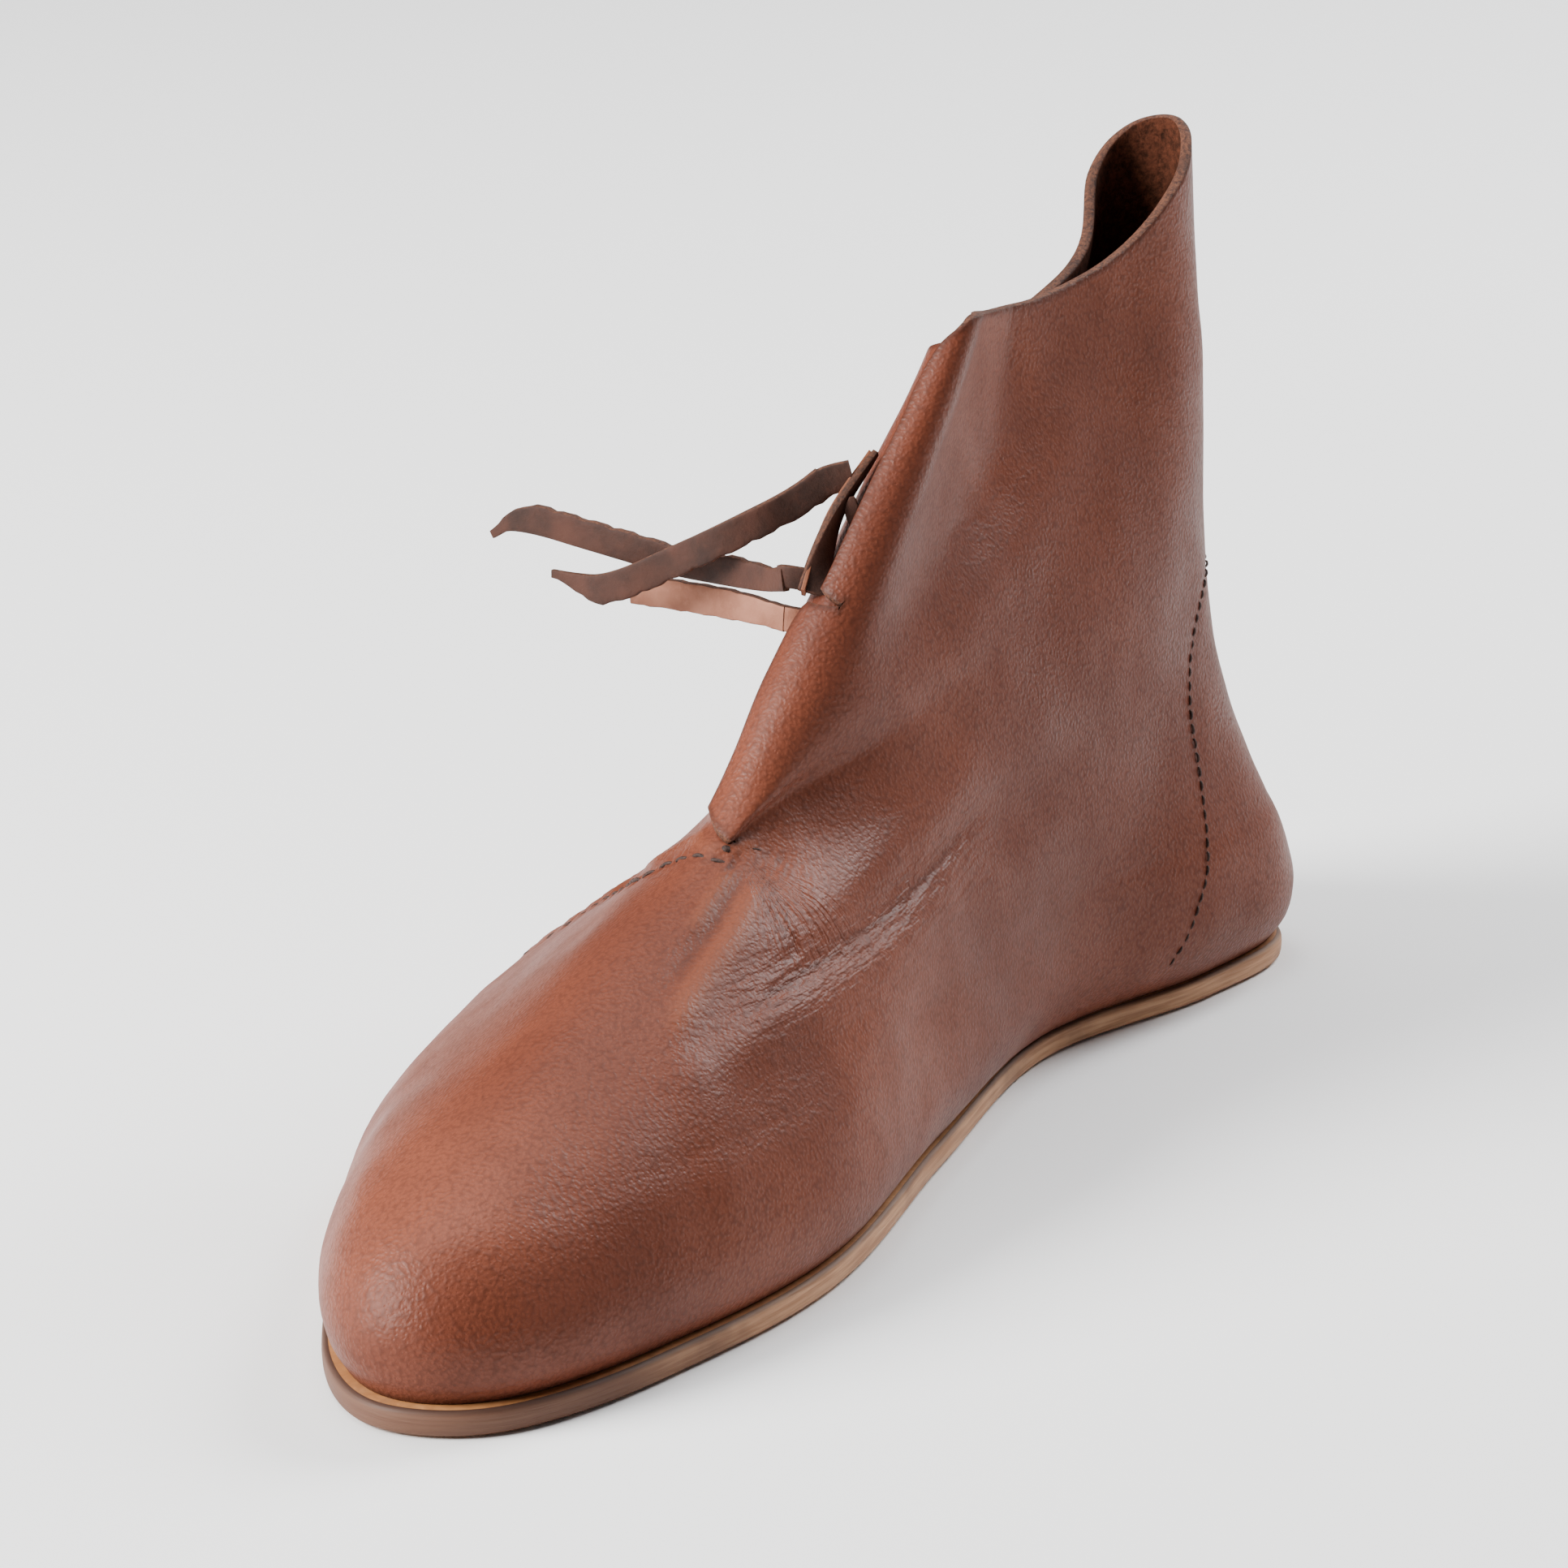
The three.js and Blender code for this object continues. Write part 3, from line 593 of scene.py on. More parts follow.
def make_thong_bar():
    """The doubled strip from the slit up the flap's edge: wide in the slit, edge on above it."""
    share = np.linspace(0, 1, BAR_RINGS)
    line = skin(BAR_ANGLE, BAR_BOTTOM + share * (BAR_TOP - BAR_BOTTOM), FLAP_STAND_OFF)
    line = line + BAR_AWAY * (BAR_STAND_OFF - curve(BAR_SHIFT, share))[:, None]
    turn = np.radians(curve(BAR_TURN, share))[:, None]
    across = np.cos(turn) * -BAR_AWAY + np.sin(turn) * EDGE_ON
    wide = strip_mesh(line, across, curve(BAR_WIDTH, share), 0 * share, THONG_THICKNESS)
    lip = line + BAR_AWAY * np.linspace(*LIP_OUT, BAR_RINGS)[:, None]
    lip_width = np.linspace(*LIP_WIDTH, BAR_RINGS)
    thin = strip_mesh(lip, EDGE_ON, lip_width, 0 * share, THONG_THICKNESS * 0.6)
    drop = np.linspace(TAB_LENGTH / 2, -TAB_LENGTH / 2, TAB_RINGS)
    tab = line[TAB_RING] - BAR_AWAY * TAB_INWARD + UP * drop[:, None]
    tab_width = TAB_WIDTH * np.sin(np.linspace(0.35, np.pi - 0.35, TAB_RINGS))
    tab = strip_mesh(tab, BAR_AWAY, tab_width, 0 * drop, TAB_THICKNESS)
    points, faces, kinds = [], [], []
    for mesh in (wide, thin, tab):
        base = sum(len(p) for p in points)
        points.append(mesh[0])
        faces += [tuple(base + k for k in f) for f in mesh[1]]
        kinds += [2] * len(mesh[1]) if mesh is thin else mesh[2]
    piece = new_piece("thong_doubled", np.concatenate(points), faces,
                      [THONG_DARK, THONG_EDGE, THONG_RIM], kinds)
    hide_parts("thong_bar")


# Where the strips turn into the doubled part and behind the flap: a route of three points, the
# width, and 1 where the lighter leather shows, its grain side with painted light on it.
THONG_TURNS = [
    ((-7.2, 5.6, 112.2), (-8.6, 7.4, 113.3), (-10.6, 10.6, 114.3), 5.0, 0),
    ((2.0, 4.8, 98.8), (2.2, 6.3, 99), (0.8, 9.4, 98.6), 3.8, 0),
    ((-1.9, 2.6, 90.4), (-1.9, 3.8, 90.3), (-3.2, 6.4, 89.9), 4.4, 1),
]


def make_thong_turns():
    for n, (start, middle, end, width, lit) in enumerate(THONG_TURNS):
        route, _ = smooth_route([start, middle, end], 0.8)
        flat = np.zeros(len(route))
        mesh = strip_mesh(route, UP, flat + width, flat, THONG_THICKNESS)
        piece = new_piece(f"thong_turn_{n + 1}", mesh[0], mesh[1],
                          [THONG_LIT if lit else THONG_DARK, THONG_EDGE], mesh[2])


make_thong_bar()
make_thong_turns()


# Upper: the solids' own sheet of quads, drawn finer, with its creases.
THROAT_ANGLE = 168
ATTACHED_UNDERLAP_ANGLE = -191
UNDERLAP_COLUMNS = 20
FLAP_COLUMNS = 20
LAST_NOMINAL_ANGLE = 198
SLIT_COLUMNS = 16
SLIT_WEDGE = 2
SLIT_CLOSED = 0.6
SLIT_FADE = 5.8
EDGE_FADE = 7.4
FREE_EDGE_LIFT = 0.8
CORNER_LIFT = 3.2
FOOT_RINGS = 70
LOW_SHAFT_RINGS = 42
HIGH_SHAFT_RINGS = 50
FRONT_TOP = float(curve(TOP_LINE, 180))
SLIT_SHARES = [
    (SLIT_HEIGHT + side * SLIT_OPENING / 2 - THROAT_HEIGHT) / (FRONT_TOP * SHAFT_HEIGHT)
    for side in (-1, 1)
]
RAMP_RISE = 20
RAMP_DEGREES = 72
FLAP_STEP = 6


def column_angles():
    """Angles round the foot from -180, closer together where the creases are."""
    return np.concatenate([
        np.arange(-180, 60, 2.4), np.arange(60, THROAT_ANGLE, 0.75), np.arange(THROAT_ANGLE, 180, 1.5),
    ])


def flap_stand_off(angle, height):
    """The flap stands one leather and a little air off the quarter that it covers."""
    high = smooth((height - THROAT_HEIGHT) / RAMP_RISE)
    begin = THROAT_ANGLE - RAMP_DEGREES * high
    full = THROAT_ANGLE + FLAP_STEP - 2 * FLAP_STEP * high
    return FLAP_STAND_OFF * smooth((angle - begin) / (full - begin))


def on_upper(angle, height):
    """Point of the upper's outer face, on the flap where there is one."""
    angle, height = np.asarray(angle, float), np.asarray(height, float)
    stand_off = np.where((angle > 0) & (height > THROAT_HEIGHT), flap_stand_off(angle, height), 0)
    return skin(angle, height, stand_off)


def normal_at(angle, height):
    angle, height = np.asarray(angle, float), np.asarray(height, float)
    rise = on_upper(angle, height + 0.5) - on_upper(angle, height - 0.5)
    along = on_upper(angle + 0.5, height) - on_upper(angle - 0.5, height)
    return unit(np.cross(rise, along))


def shaft_height(angle, share):
    """Rings run level up to the slit and turn into the top line above it."""
    turned = smooth((share - SLIT_SHARES[1]) / (1 - SLIT_SHARES[1]))
    return shaft_level(share * (FRONT_TOP + (curve(TOP_LINE, angle) - FRONT_TOP) * turned))


def upper_sheet():
    """Points, quads, and each point's angle and height, of the upper's outer face."""
    ring_angles = column_angles()
    around = len(ring_angles)
    points, angles, heights = [], [], []

    def add(ring, ring_angle, ring_height):
        first = sum(len(p) for p in points)
        points.append(ring)
        angles.append(ring_angle)
        heights.append(ring_height)
        return np.arange(first, first + len(ring))

    quads = []
    foot = []
    for height in np.linspace(UPPER_BOTTOM, THROAT_HEIGHT, FOOT_RINGS):
        level = np.full(around, height)
        foot.append(add(skin(ring_angles, level), ring_angles, level))
    for low, high in zip(foot, foot[1:]):
        quads.append(np.stack([low, high, np.roll(high, -1), np.roll(low, -1)], 1))

    throat = int(np.searchsorted(ring_angles, THROAT_ANGLE))
    column = np.arange(-UNDERLAP_COLUMNS, throat + FLAP_COLUMNS + 1)
    past = np.clip((column - throat) / FLAP_COLUMNS, 0, 1)
    base = np.concatenate([np.full(UNDERLAP_COLUMNS, -180.0), ring_angles[:throat + 1],
                           THROAT_ANGLE + (LAST_NOMINAL_ANGLE - THROAT_ANGLE) * past[past > 0]])

    start = np.concatenate([-180 + 1.5 * column[:UNDERLAP_COLUMNS], base[UNDERLAP_COLUMNS:]])
    attached = (start >= ATTACHED_UNDERLAP_ANGLE) & (start <= THROAT_ANGLE)
    edge_lift = np.where(attached, 0, FREE_EDGE_LIFT + CORNER_LIFT * smooth(past))
    slit_side = column > column[-1] - SLIT_COLUMNS
    wedge = SLIT_WEDGE * np.clip((column - column[-1]) / SLIT_COLUMNS + 1, 0, 1) - SLIT_CLOSED * slit_side

    def shaft_ring(share):
        height = shaft_height(base, share)
        above = height - (SLIT_HEIGHT + SLIT_OPENING / 2)
        under_slit = -SLIT_OPENING - above
        lift = edge_lift * np.clip(1 - (height - THROAT_HEIGHT) / EDGE_FADE, 0, 1)
        if share >= SLIT_SHARES[1]:
            lift = lift + wedge * np.clip(1 - above / SLIT_FADE, 0, 1)
        else:
            lift = lift + SLIT_CLOSED * slit_side * np.clip(1 - under_slit / SLIT_FADE, 0, 1)
        height = height + lift
        under = -180 + curve(UNDERLAP_REACH, height) * column / UNDERLAP_COLUMNS
        over = THROAT_ANGLE + (180 + curve(FLAP_EDGE, height) - THROAT_ANGLE) * past
        angle = np.where(column < 0, under, np.where(past > 0, over, base))
        stand_off = np.where(angle > 0, flap_stand_off(angle, height), 0)
        tucked = flap_stand_off(angle + 360, height) - FLAP_STAND_OFF
        stand_off = np.where(column < 0, tucked, stand_off)
        return add(skin(angle, height, stand_off), angle, height)

    below = shaft_ring(0)
    below = np.where(attached, foot[-1][column % around], below)
    shares = np.concatenate([
        np.linspace(0, SLIT_SHARES[0], LOW_SHAFT_RINGS)[1:],
        np.linspace(SLIT_SHARES[1], 1, HIGH_SHAFT_RINGS),
    ])
    for share in shares:
        ring = shaft_ring(share)
        row = np.stack([below[:-1], ring[:-1], ring[1:], below[1:]], 1)
        quads.append(row[:-SLIT_COLUMNS] if share == SLIT_SHARES[1] else row)
        below = ring
    points, quads = np.concatenate(points), np.concatenate(quads)
    used = np.unique(quads)
    renumber = np.zeros(len(points), int)
    renumber[used] = np.arange(len(used))
    return points[used], renumber[quads], np.concatenate(angles)[used], np.concatenate(heights)[used]


def point_normals(points, quads):
    across = points[quads[:, 2]] - points[quads[:, 0]]
    other = points[quads[:, 3]] - points[quads[:, 1]]
    face = unit(np.cross(across, other))
    normals = np.zeros_like(points)
    for k in range(4):
        np.add.at(normals, quads[:, k], face)
    return unit(normals)


def nearest(points, samples):
    """Distance to the nearest sample, and its number, for each point."""
    distance, index = np.empty(len(points)), np.empty(len(points), int)
    for start in range(0, len(points), 4000):
        block = points[start:start + 4000]
        squares = ((block[:, None] - samples[None]) ** 2).sum(-1)
        index[start:start + 4000] = squares.argmin(1)
        distance[start:start + 4000] = np.sqrt(squares.min(1))
    return distance, index


def route_on_upper(route, step=0.8):
    """A smooth line over the upper through places (angle, height), and its angles and heights."""
    fine, _ = smooth_route(route, 0.4)
    run = run_along(on_upper(fine[:, 0], fine[:, 1]))
    at = np.linspace(0, run[-1], max(3, int(run[-1] / step)))
    angle, height = read_rows(at, run, fine).T
    return on_upper(angle, height), angle, height, run[-1]


# Creases as (depth, half width, places). Depth and width are millimetres, a trough is negative,
# and a place is (angle round the shoe, height).
LONG_FOLD = [
    (149, 44.8), (142.5, 45.5), (137.5, 46), (129, 47), (121.5, 47.5), (114, 48), (106.5, 49.5),
    (98.5, 52.5), (93, 55),
]


def beside(route, drop, first=0, last=None):
    """A route a few millimetres under another one."""
    return [(a, h - drop) for a, h in route[first:last]]


VAMP_CREASES = [
    (0.7, 2.2, [(162.5, 60), (162.5, 58), (163, 56), (163.5, 53)]),
    (-0.45, 2.4, [(159, 60), (158.5, 58), (158, 55.5), (159, 52), (160, 48)]),
    (0.9, 3.2, [(153.5, 59), (152, 56.5), (151.5, 53), (153, 50), (153.5, 46.5), (153, 42)]),
    (-0.5, 0.8, [(157, 60), (154.5, 59), (148, 56.5), (141.5, 53.5), (137, 51), (133, 47.6)]),
    (-0.4, 0.7, [(153, 57.5), (147.5, 55), (142.5, 53), (136.5, 50), (132.5, 47.2)]),
    (0.3, 0.8, [(153.5, 58.2), (147.5, 55.8), (141.5, 53.2), (136.5, 50.5)]),
    (-0.3, 0.7, [(155, 60.5), (150.5, 59), (145, 57.5), (139.5, 55), (136, 53)]),
    (-0.22, 0.7, [(152, 60.3), (145, 59), (139, 57.3), (133, 55)]),
    (-0.45, 0.9, [(168, 61.6), (165.5, 61.5), (158, 61), (149, 59.5), (144, 58.6)]),
    (-0.8, 5.0, beside(LONG_FOLD, -2.0)),
    (0.9, 4.6, beside(LONG_FOLD, 5.0)),
    (-0.6, 0.75, LONG_FOLD),
    (-0.35, 0.6, beside(LONG_FOLD, 1.5, 0, 7)),
    (-0.35, 0.6, beside(LONG_FOLD, -1.5, 2, None)),
    (-0.25, 0.6, beside(LONG_FOLD, 2.9, 3, 8)),
    (-0.25, 0.6, beside(LONG_FOLD, -3.2, 4, None)),
    (0.7, 6.0, [(152.5, 44.5), (143, 39), (133.5, 32.5), (128.5, 24.5), (129, 16)]),
    (-0.5, 6.0, [(165, 47), (162, 42.5), (159, 36), (153, 29.5), (149, 22)]),
]
SHAFT_CREASES = [
    (-1.4, 8.0, [(103, 137), (101.5, 126), (100.5, 119.5), (101, 112.5), (107, 104.5), (118.5, 98),
                 (130.5, 91.5), (140, 85), (146, 77)]),
    (-0.35, 3.2, [(104.5, 141), (104, 135), (102.5, 129), (101.5, 124), (101, 117)]),
    (0.8, 7.5, [(84, 123), (81, 116), (85, 105), (93, 95.5), (109, 88.5), (124.5, 80)]),
    (-0.25, 1.2, [(123, 99.4), (117, 100.2), (111, 100.1), (105, 99)]),
    (-0.2, 1.1, [(137, 98), (127, 96.9), (117, 95.5)]),
    (-0.6, 5.0, [(160, 66), (150, 68), (140, 72), (130, 78)]),
]
SEAM_ROUTE = [
    (162.5, 59.4), (169, 60.1), (177, 60.5), (187, 60.4), (199, 59), (209, 57), (219, 54), (230, 51),
    (241, 47), (252, 40), (261, 29), (266, 18), (269, 8),
]
COUNTER_ROUTE = [
    (0, 76), (12, 76), (25, 74.5), (34, 70.5), (40, 65.5), (43.5, 60), (45, 53), (45.5, 46),
    (46.5, 38), (48, 28), (51, 18), (54, 9),
]
SEAM_GROOVE = (-0.55, 0.8)
SEAM_LIP = (0.7, 2.6)
COUNTER_GROOVE = (-0.3, 0.8)
UNEVEN = [(0.38, 28.0), (0.14, 9.0)]


def relief(points, angle, height):
    """How far each point of the upper is raised or sunk, and how deep in a fine crease it lies."""
    raised, crease, worn = np.zeros((3, len(points)))
    inner_side = angle > -60

    def lay(depth, width, line, where, tapered=True):
        low, high = line.min(0) - 3 * width, line.max(0) + 3 * width
        near = np.flatnonzero(where & ((points > low) & (points < high)).all(1))
        if not len(near):
            return
        distance, index = nearest(points[near], line)
        weight = np.exp(-((distance / width) ** 2))
        if tapered:
            t = index / (len(line) - 1)
            weight *= smooth(t / 0.22) * smooth((1 - t) / 0.25)
        raised[near] += depth * weight
        # Narrow troughs mark where shade is painted in the creases; narrow ridges mark the crests' wear.
        if width < 3.5:
            target = crease if depth < 0 else worn
            target[near] = np.maximum(target[near], weight * min(1, abs(depth) / 0.8))

    for depth, width, route in VAMP_CREASES + SHAFT_CREASES:
        lay(depth, width, route_on_upper(route)[0], inner_side)
    seam = route_on_upper(SEAM_ROUTE)
    foot = height < THROAT_HEIGHT + 0.1
    lay(*SEAM_GROOVE, seam[0], foot, False)
    lip = on_upper(seam[1], seam[2] + 2.2)
    lay(*SEAM_LIP, lip, foot, False)
    for side in (1, -1):
        line = route_on_upper([(side * a, h) for a, h in COUNTER_ROUTE])[0]
        lay(*COUNTER_GROOVE, line, np.ones(len(points), bool), False)
    for amount, size in UNEVEN:
        raised += [amount * mathutils.noise.noise(Vector(p) / size) for p in points]
    return raised, crease, worn


def fan_field(points):
    """Wrinkles that spread from the throat: direction and distance from it, and where they show."""
    throat = on_upper(164, 61)
    ahead = unit(on_upper(140, 54) - throat)
    normal = normal_at(150, 57)
    side = np.cross(normal, ahead)
    away = points - throat
    reach = np.linalg.norm(away, axis=1)
    turn = np.arctan2(away @ side, away @ ahead)
    mask = smooth((reach - 2) / 5) * smooth((31 - reach) / 12) * smooth((0.7 - np.abs(turn)) / 0.4)
    return np.stack([turn * 15, reach / 11, 0 * turn], 1), mask * (np.abs(away @ normal) < 14)


def fold_field(points):
    """Wrinkles along the long fold of the waist: distance across and along it."""
    line, _, _, length = route_on_upper(LONG_FOLD)
    distance, index = nearest(points, line)
    up = (points[:, 2] - line[index, 2]) > 0
    across = np.where(up, distance, -distance)
    along = index / (len(line) - 1) * length
    mask = np.exp(-((distance / np.where(up, 6.0, 10.0)) ** 2))
    mask *= smooth(along / 14) * smooth((length - along) / 14)
    return np.stack([across / 1.5, along / 8, 0 * along], 1), mask


WALL_STEPS = ((0.12, 0.22), (0.5, 0.42), (0.88, 0.22))


def leather_sheet(outer, inner, quads):
    """A closed sheet: both faces, and a slightly rounded wall along every free edge."""
    edges = {}
    for quad in quads.tolist():
        for k in range(4):
            s, e = quad[k], quad[(k + 1) % 4]
            if (e, s) in edges:
                del edges[(e, s)]
            else:
                edges[(s, e)] = True
    border = np.array(list(edges))
    count = len(outer)
    normals = unit(outer - inner)
    away = np.zeros_like(outer)
    direction = np.cross(unit(outer[border[:, 1]] - outer[border[:, 0]]), normals[border[:, 0]])
    for k in (0, 1):
        np.add.at(away, border[:, k], direction)
    rim = np.unique(border)
    place = {int(v): i for i, v in enumerate(rim)}
    layers = [outer[rim] + (inner[rim] - outer[rim]) * depth + unit(away[rim]) * bulge
              for depth, bulge in WALL_STEPS]
    points = np.concatenate([outer, inner] + layers)
    faces = quads.tolist() + (quads[:, ::-1] + count).tolist()
    kinds = [0] * len(quads) + [1] * len(quads)
    for s, e in border.tolist():
        i, j = place[s], place[e]
        stack = [(s, e)]
        stack += [(2 * count + n * len(rim) + i, 2 * count + n * len(rim) + j) for n in range(len(layers))]
        stack.append((s + count, e + count))
        for (a, b), (c, d) in zip(stack, stack[1:]):
            faces.append((a, c, d, b))
            kinds.append(2)
    return points, faces, kinds, rim


def make_upper():
    base, quads, angle, height = upper_sheet()
    normals = point_normals(base, quads)
    bottom = height < UPPER_BOTTOM + 0.01
    normals[bottom, 2] = 0
    normals = unit(normals)
    raised, crease, worn = relief(base, angle, height)
    raised *= smooth((height - UPPER_BOTTOM) / 6)
    outer = base + normals * raised[:, None]
    inner = outer - normals * LEATHER
    points, faces, kinds, rim = leather_sheet(outer, inner, quads)
    closeness = np.exp(-((nearest(base, base[rim])[0] / 1.3) ** 2))
    fan, fan_mask = fan_field(base)
    fold, fold_mask = fold_field(base)
    more = len(points) - len(base)

    def filled(values):
        return np.concatenate([values, np.zeros((more,) + values.shape[1:])])

    attributes = {
        "crease": filled(crease), "worn": filled(worn), "rim": filled(closeness),
        "fan": filled(fan), "fan_mask": filled(fan_mask * (angle > 0)),
        "fold": filled(fold), "fold_mask": filled(fold_mask * (angle > 0)),
    }
    piece = new_piece("upper_leather_shell", points, faces, [UPPER_LEATHER, FLESH_SIDE, UPPER_EDGE],
                      kinds, attributes, sharp=50)
    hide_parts("upper")


make_upper()


# Stitches: short bent lengths of waxed thread that dive into the leather.
THREAD_SIDES = 6
STITCH_RINGS = 7


def stitch_row(name, route, length, gap, thickness):
    line, angle, height, run = route_on_upper(route, 0.25)
    normal = normal_at(angle, height)
    at = np.linspace(0, run, len(line))
    starts = np.arange(gap, run - length, length + gap)
    points, faces = [], []
    turn = full_turn(THREAD_SIDES)
    for n, start in enumerate(starts):
        share = np.linspace(0, 1, STITCH_RINGS)
        where = start + share * length
        centre = read_rows(where, at, line)
        out = unit(read_rows(where, at, normal))
        lift = thickness * (0.55 * np.sin(np.pi * share) ** 0.5 - 0.42)
        centre = centre + out * lift[:, None]
        along = unit(np.gradient(centre, axis=0))
        side = unit(np.cross(along, out))
        out = np.cross(side, along)
        lean = 0.12 * thickness * math.sin(2.3 * n)
        centre = centre + side * (lean * np.sin(np.pi * share))[:, None]
        radius = thickness / 2 * (0.8 + 0.2 * np.sin(np.pi * share))
        base = len(points) * THREAD_SIDES
        for c, s, o, r in zip(centre, side, out, radius):
            points.append(c + r * (np.cos(turn)[:, None] * s + np.sin(turn)[:, None] * o))
        last = base + (STITCH_RINGS - 1) * THREAD_SIDES
        faces += tube_faces(STITCH_RINGS, THREAD_SIDES, base)
        faces += [tuple(range(base, base + THREAD_SIDES))[::-1], tuple(range(last, last + THREAD_SIDES))]
    piece = new_piece(name, np.concatenate(points), faces, [THREAD], sharp=80)


stitch_row("vamp_seam_thread", SEAM_ROUTE, 3.1, 1.0, 0.75)
stitch_row("counter_thread_inner", COUNTER_ROUTE, 1.7, 0.9, 0.5)
stitch_row("counter_thread_outer", [(-a, h) for a, h in COUNTER_ROUTE], 1.7, 0.9, 0.5)
stitch_row("throat_dashes", [(164, 61.5), (159, 61.1), (154, 60.5), (149.5, 59.9)], 2.3, 1.3, 0.5)


def make_throat_knot():
    """A small lump of thread where the seam ends in the corner of the throat."""
    sides, rings, size = 12, 7, np.array([0.95, 0.95, 0.75])
    centre = on_upper(171.5, 61.6) + normal_at(171.5, 61.6) * 0.3
    turn = full_turn(sides)
    points = [centre - size * UP]
    for k in range(1, rings):
        tilt = np.pi * k / rings
        lumpy = 1 + 0.16 * np.sin(3 * turn + 1.3 * k)
        ring = np.stack([np.cos(turn) * lumpy, np.sin(turn) * lumpy, 0 * turn], 1) * np.sin(tilt)
        points += list(centre + size * (ring - UP * np.cos(tilt)))
    points.append(centre + size * UP)
    faces = [(0, 1 + (i + 1) % sides, 1 + i) for i in range(sides)] + tube_faces(rings - 1, sides, 1)
    low, top = 1 + (rings - 2) * sides, len(points) - 1
    faces += [(low + i, low + (i + 1) % sides, top) for i in range(sides)]
    new_piece("throat_knot", points, faces, [THREAD], sharp=80)


make_throat_knot()


# Sole, insole and nails
OUTLINE_STEPS = 288
EDGE_PROFILE = [
    (0.95, 0.0), (0.45, 0.12), (0.12, 0.42), (0.0, 0.95), (-0.08, 2.1), (0.0, 3.3), (0.15, 3.75),
    (0.5, 4.06), (0.95, 4.2),
]
NAIL_DIAMETER = 2.9
NAIL_INSET = 7.4
NAIL_COUNT = 41
NAIL_SINK = 0.15
NAIL_LENGTH = 2.4
HOLE_PAST_NAIL = 0.6
CLEARANCE = 0.3
HALO_RINGS = ((1.75, 1.0), (2.3, 0.8), (3.1, 0.0))
HOLE_SIDES = 20
INSOLE_THICKNESS = 2


def nail_places():
    """Even places along the sole's inset outline, the first at the tip of the toe."""
    line = edge_point(180 + np.linspace(0, 360, 721), NAIL_INSET)
    run = run_along(line)
    return read_rows(np.arange(NAIL_COUNT) / NAIL_COUNT * run[-1], run, line)


def circle(place, radius):
    turn = full_turn(HOLE_SIDES)
    return place + radius * np.stack([np.cos(turn), np.sin(turn)], 1)


def pierce(points, faces, kinds, halo, holes, bottom):
    """Fill the bottom ring with triangles round blind holes, and mark the rings round each hole."""
    n = OUTLINE_STEPS
    marks = [tuple(p[:2]) for p in points[:n]]
    edges = [(i, (i + 1) % n) for i in range(n)]
    share, hole_rings = [0.0] * n, []
    for place in holes:
        for radius, strength in HALO_RINGS:
            first = len(marks)
            marks += [tuple(p) for p in circle(place, radius)]
            share += [strength] * HOLE_SIDES
            if radius == HALO_RINGS[0][0]:
                edges += [(first + i, first + (i + 1) % HOLE_SIDES) for i in range(HOLE_SIDES)]
                hole_rings.append(first)
    verts, _, triangles, origin, _, _ = delaunay_2d_cdt(
        [Vector(m) for m in marks], edges, [list(range(n))], 1, 1e-4)
    number = {}
    for i, source in enumerate(origin):
        number[i] = source[0]
        if source[0] >= n:
            number[i] = len(points)
            points.append(np.array([*verts[i][:2], bottom]))
            halo.append(share[source[0]])
    back = {origin[i][0]: number[i] for i in range(len(verts))}
    for triangle in triangles:
        middle = np.mean([np.array(verts[i][:2]) for i in triangle], 0)
        if np.min(np.linalg.norm(holes - middle, axis=1)) >= HALO_RINGS[0][0] * 0.97:
            faces.append(tuple(number[i] for i in triangle)[::-1])
            kinds.append(0)
    for first in hole_rings:
        mouth = [back[first + i] for i in range(HOLE_SIDES)]
        base = len(points)
        for m in mouth:
            points.append(np.array([*points[m][:2], bottom + NAIL_SINK + HOLE_PAST_NAIL]))
            halo.append(0.0)
        for i in range(HOLE_SIDES):
            j = (i + 1) % HOLE_SIDES
            faces.append((mouth[i], mouth[j], base + j, base + i))
        faces.append(tuple(range(base, base + HOLE_SIDES))[::-1])
        kinds += [1] * (HOLE_SIDES + 1)


def flat_leather(name, node, profile, materials, inset, height, holes=()):
    """Flat leather: an outline, its edge profile as (inset, height), and holes from below."""
    n = OUTLINE_STEPS
    angles = np.arange(n) * 360 / n
    wave = 0.12 * np.sin(np.radians(angles * 7)) + 0.08 * np.sin(np.radians(angles * 17 + 40))
    rings = []
    for dx, z in profile:
        shape = edge_point(angles, inset + dx, height)
        shape = shape - outward(angles, height) * wave[:, None] * 0.6
        rings.append(np.c_[shape, np.full(n, z)])
    points = list(np.concatenate(rings))
    faces = [(a, d, c, b) for a, b, c, d in tube_faces(len(rings), n)]
    kinds = [1] * len(faces) + [0]
    faces.append(tuple(range(len(points) - n, len(points)))[::-1])
    halo = [0.0] * len(points)
    if len(holes):
        pierce(points, faces, kinds, halo, holes, profile[0][1])
    else:
        faces.append(tuple(range(n)))
        kinds.append(0)
    points = np.array(points)
    attributes = {"halo": np.array(halo), "toe": smooth((points[:, 0] - 60) / 70)}
    piece = new_piece(name, points, faces, materials, kinds, attributes, sharp=35)
    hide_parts(node)


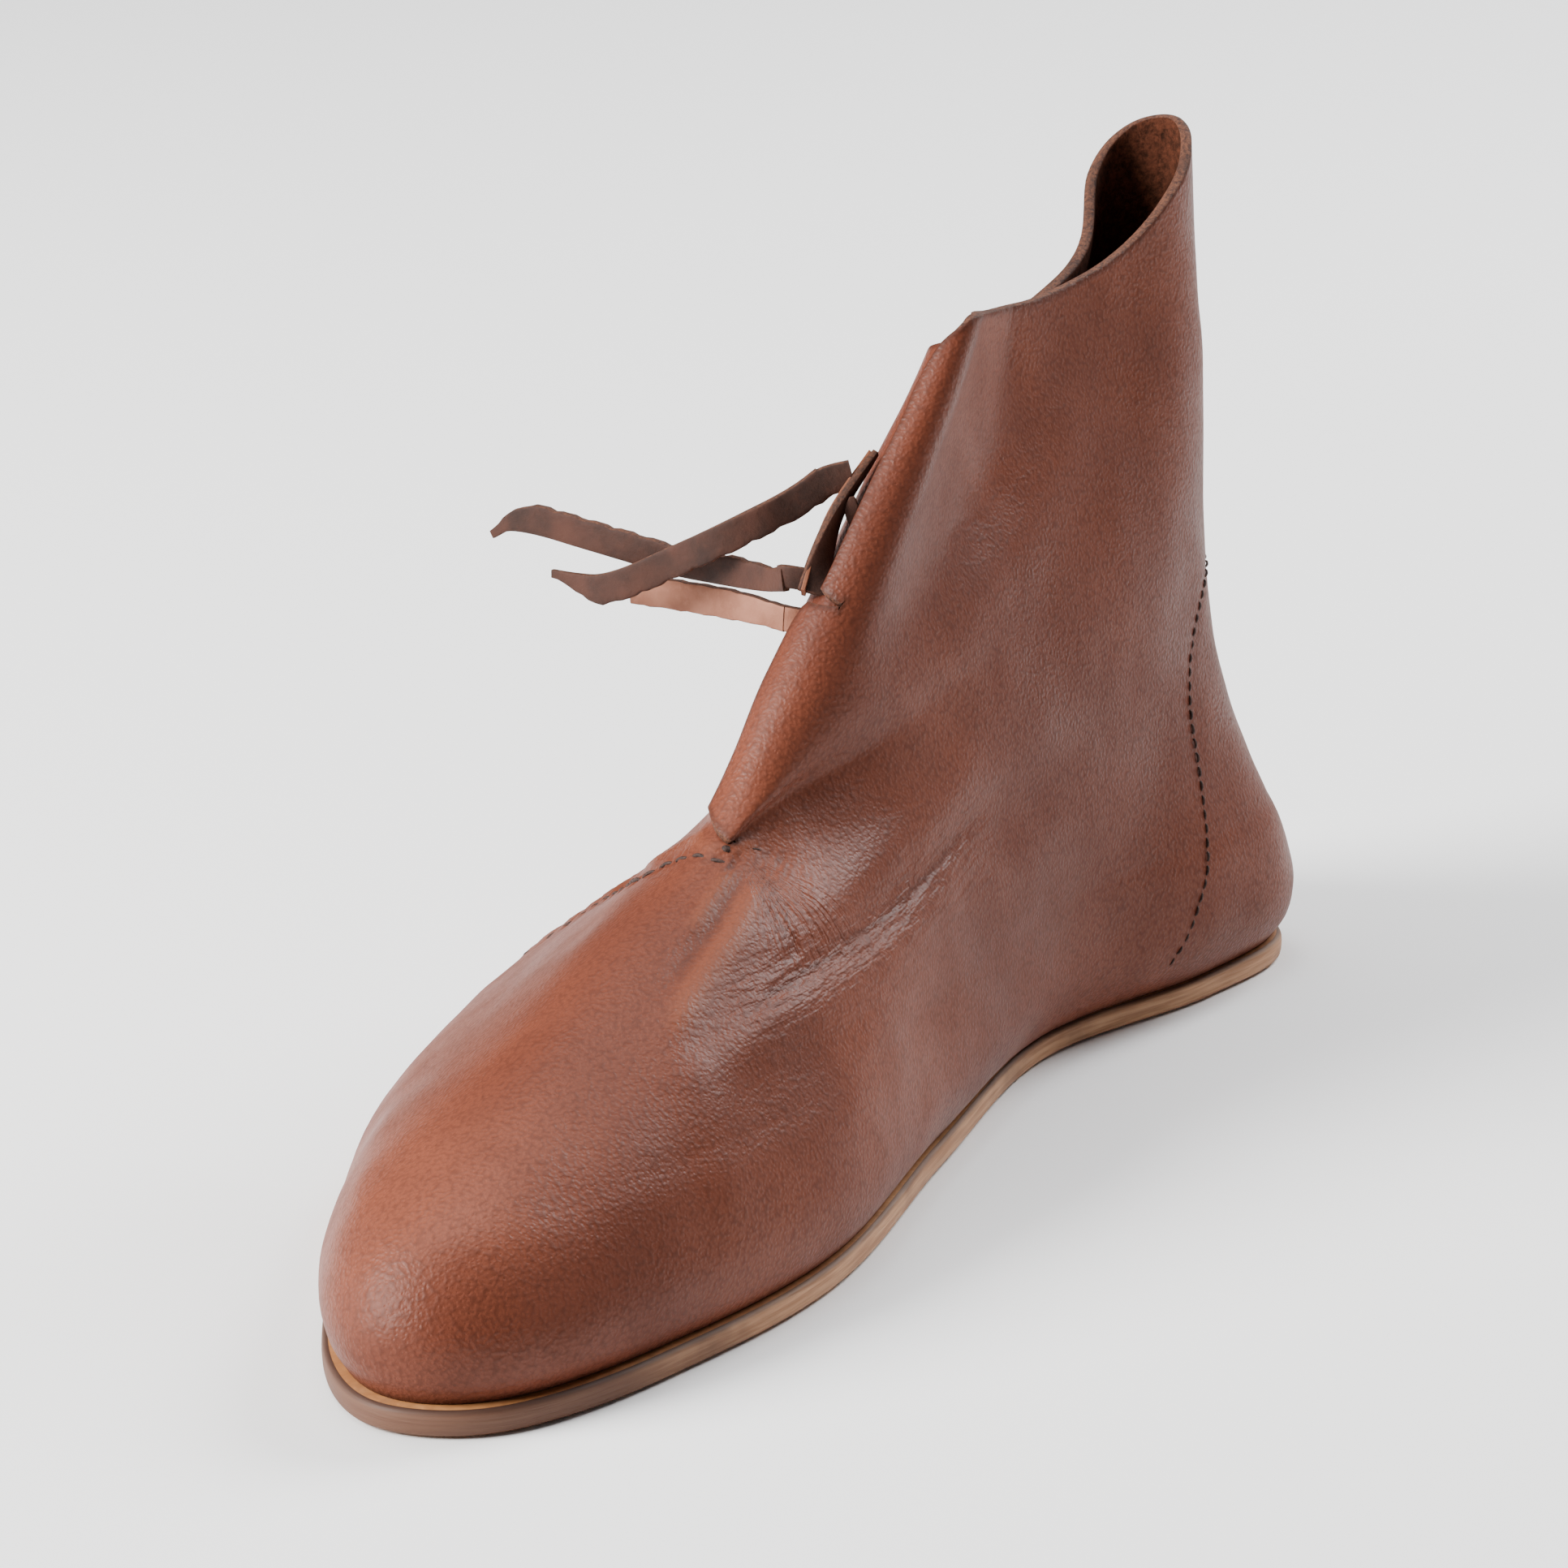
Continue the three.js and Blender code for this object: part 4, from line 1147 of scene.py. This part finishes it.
def make_nails(places):
    """Flush heads, a little domed and filed."""
    radius = NAIL_DIAMETER / 2
    profile = [(0.0, 0.02), (0.45, 0.03), (0.8, 0.08), (0.95, 0.16), (1.0, 0.3), (1.0, NAIL_LENGTH)]
    sides = 24
    turn = full_turn(sides)
    points, faces = [], []
    for n, place in enumerate(places):
        base = len(points)
        out_of_round = 1 + 0.035 * np.sin(2 * turn + n) + 0.02 * np.sin(3 * turn + 2 * n)
        points.append((place[0], place[1], NAIL_SINK - 0.12))
        for share, z in profile[1:]:
            r = radius * share * out_of_round
            for c, s, rr in zip(np.cos(turn), np.sin(turn), r):
                points.append((place[0] + c * rr, place[1] + s * rr, NAIL_SINK - 0.12 + z))
        for i in range(sides):
            faces.append((base, base + 1 + (i + 1) % sides, base + 1 + i))
        faces += tube_faces(len(profile) - 1, sides, base + 1)
    piece = new_piece("nail_heads", points, faces, [NAIL_IRON], sharp=60)
    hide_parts(*[f"nail_{k + 1:02d}" for k in range(NAIL_COUNT)])


places = nail_places()
flat_leather("outsole_leather", "outsole", EDGE_PROFILE,
             [SOLE_LEATHER, SOLE_EDGE], 0, 0, places)
insole_bottom = SOLE_THICKNESS + CLEARANCE
insole_top = insole_bottom + INSOLE_THICKNESS
insole_profile = [(0.2, insole_bottom), (0, insole_bottom + 0.3), (0, insole_top - 0.3), (0.2, insole_top)]
flat_leather("insole_leather", "insole", insole_profile,
             [INSOLE_LEATHER, INSOLE_LEATHER], FEATHER_INSET + LEATHER + 2 * CLEARANCE, insole_top)
make_nails(places)


# Stage: a plain pale floor and soft studio light, placed as the photograph's light falls.
IMAGE_LEFT = Vector((0.47, -0.88, 0))
TO_CAMERA = Vector((0.84, 0.45, 0))
SKY = Vector((0, 0, 1))
LIGHT_AIM = Vector((0, 0, 0.06))
LIGHTS = [
    # name, place, size, power in watts, colour
    ("left", IMAGE_LEFT * 1.5 + TO_CAMERA * 0.75 + SKY * 1.05, 1.1, 108, (1.0, 0.985, 0.97)),
    ("right", IMAGE_LEFT * -1.0 + TO_CAMERA * -1.15 + SKY * 1.3, 1.0, 50, (0.97, 0.98, 1.0)),
    ("top", IMAGE_LEFT * 0.4 + TO_CAMERA * -0.3 + SKY * 2.1, 1.6, 36, (1.0, 1.0, 1.0)),
]
WORLD_COLOUR = (0.95, 0.96, 1.0, 1)
WORLD_STRENGTH = 0.1
FLOOR_SIZE = 14
FLOOR_DROP = 0.0004


def make_stage():
    scene = bpy.context.scene
    half = FLOOR_SIZE / 2
    mesh = bpy.data.meshes.new("floor")
    corners = [(-half, -half), (half, -half), (half, half), (-half, half)]
    mesh.from_pydata([(x, y, -FLOOR_DROP) for x, y in corners], [], [(0, 1, 2, 3)])
    mesh.materials.append(FLOOR_PAINT)
    floor = bpy.data.objects.new("floor", mesh)
    scene.collection.objects.link(floor)
    for name, place, size, power, colour in LIGHTS:
        data = bpy.data.lights.new(name, "AREA")
        data.shape = "DISK"
        data.size = size
        data.energy = power
        data.color = colour
        light = bpy.data.objects.new(name, data)
        light.location = place
        light.rotation_mode = "QUATERNION"
        light.rotation_quaternion = (LIGHT_AIM - place).to_track_quat("-Z", "Y")
        scene.collection.objects.link(light)
    world = bpy.data.worlds.new("studio")
    world.use_nodes = True
    background = world.node_tree.nodes["Background"]
    background.inputs["Color"].default_value = WORLD_COLOUR
    background.inputs["Strength"].default_value = WORLD_STRENGTH
    scene.world = world


make_stage()
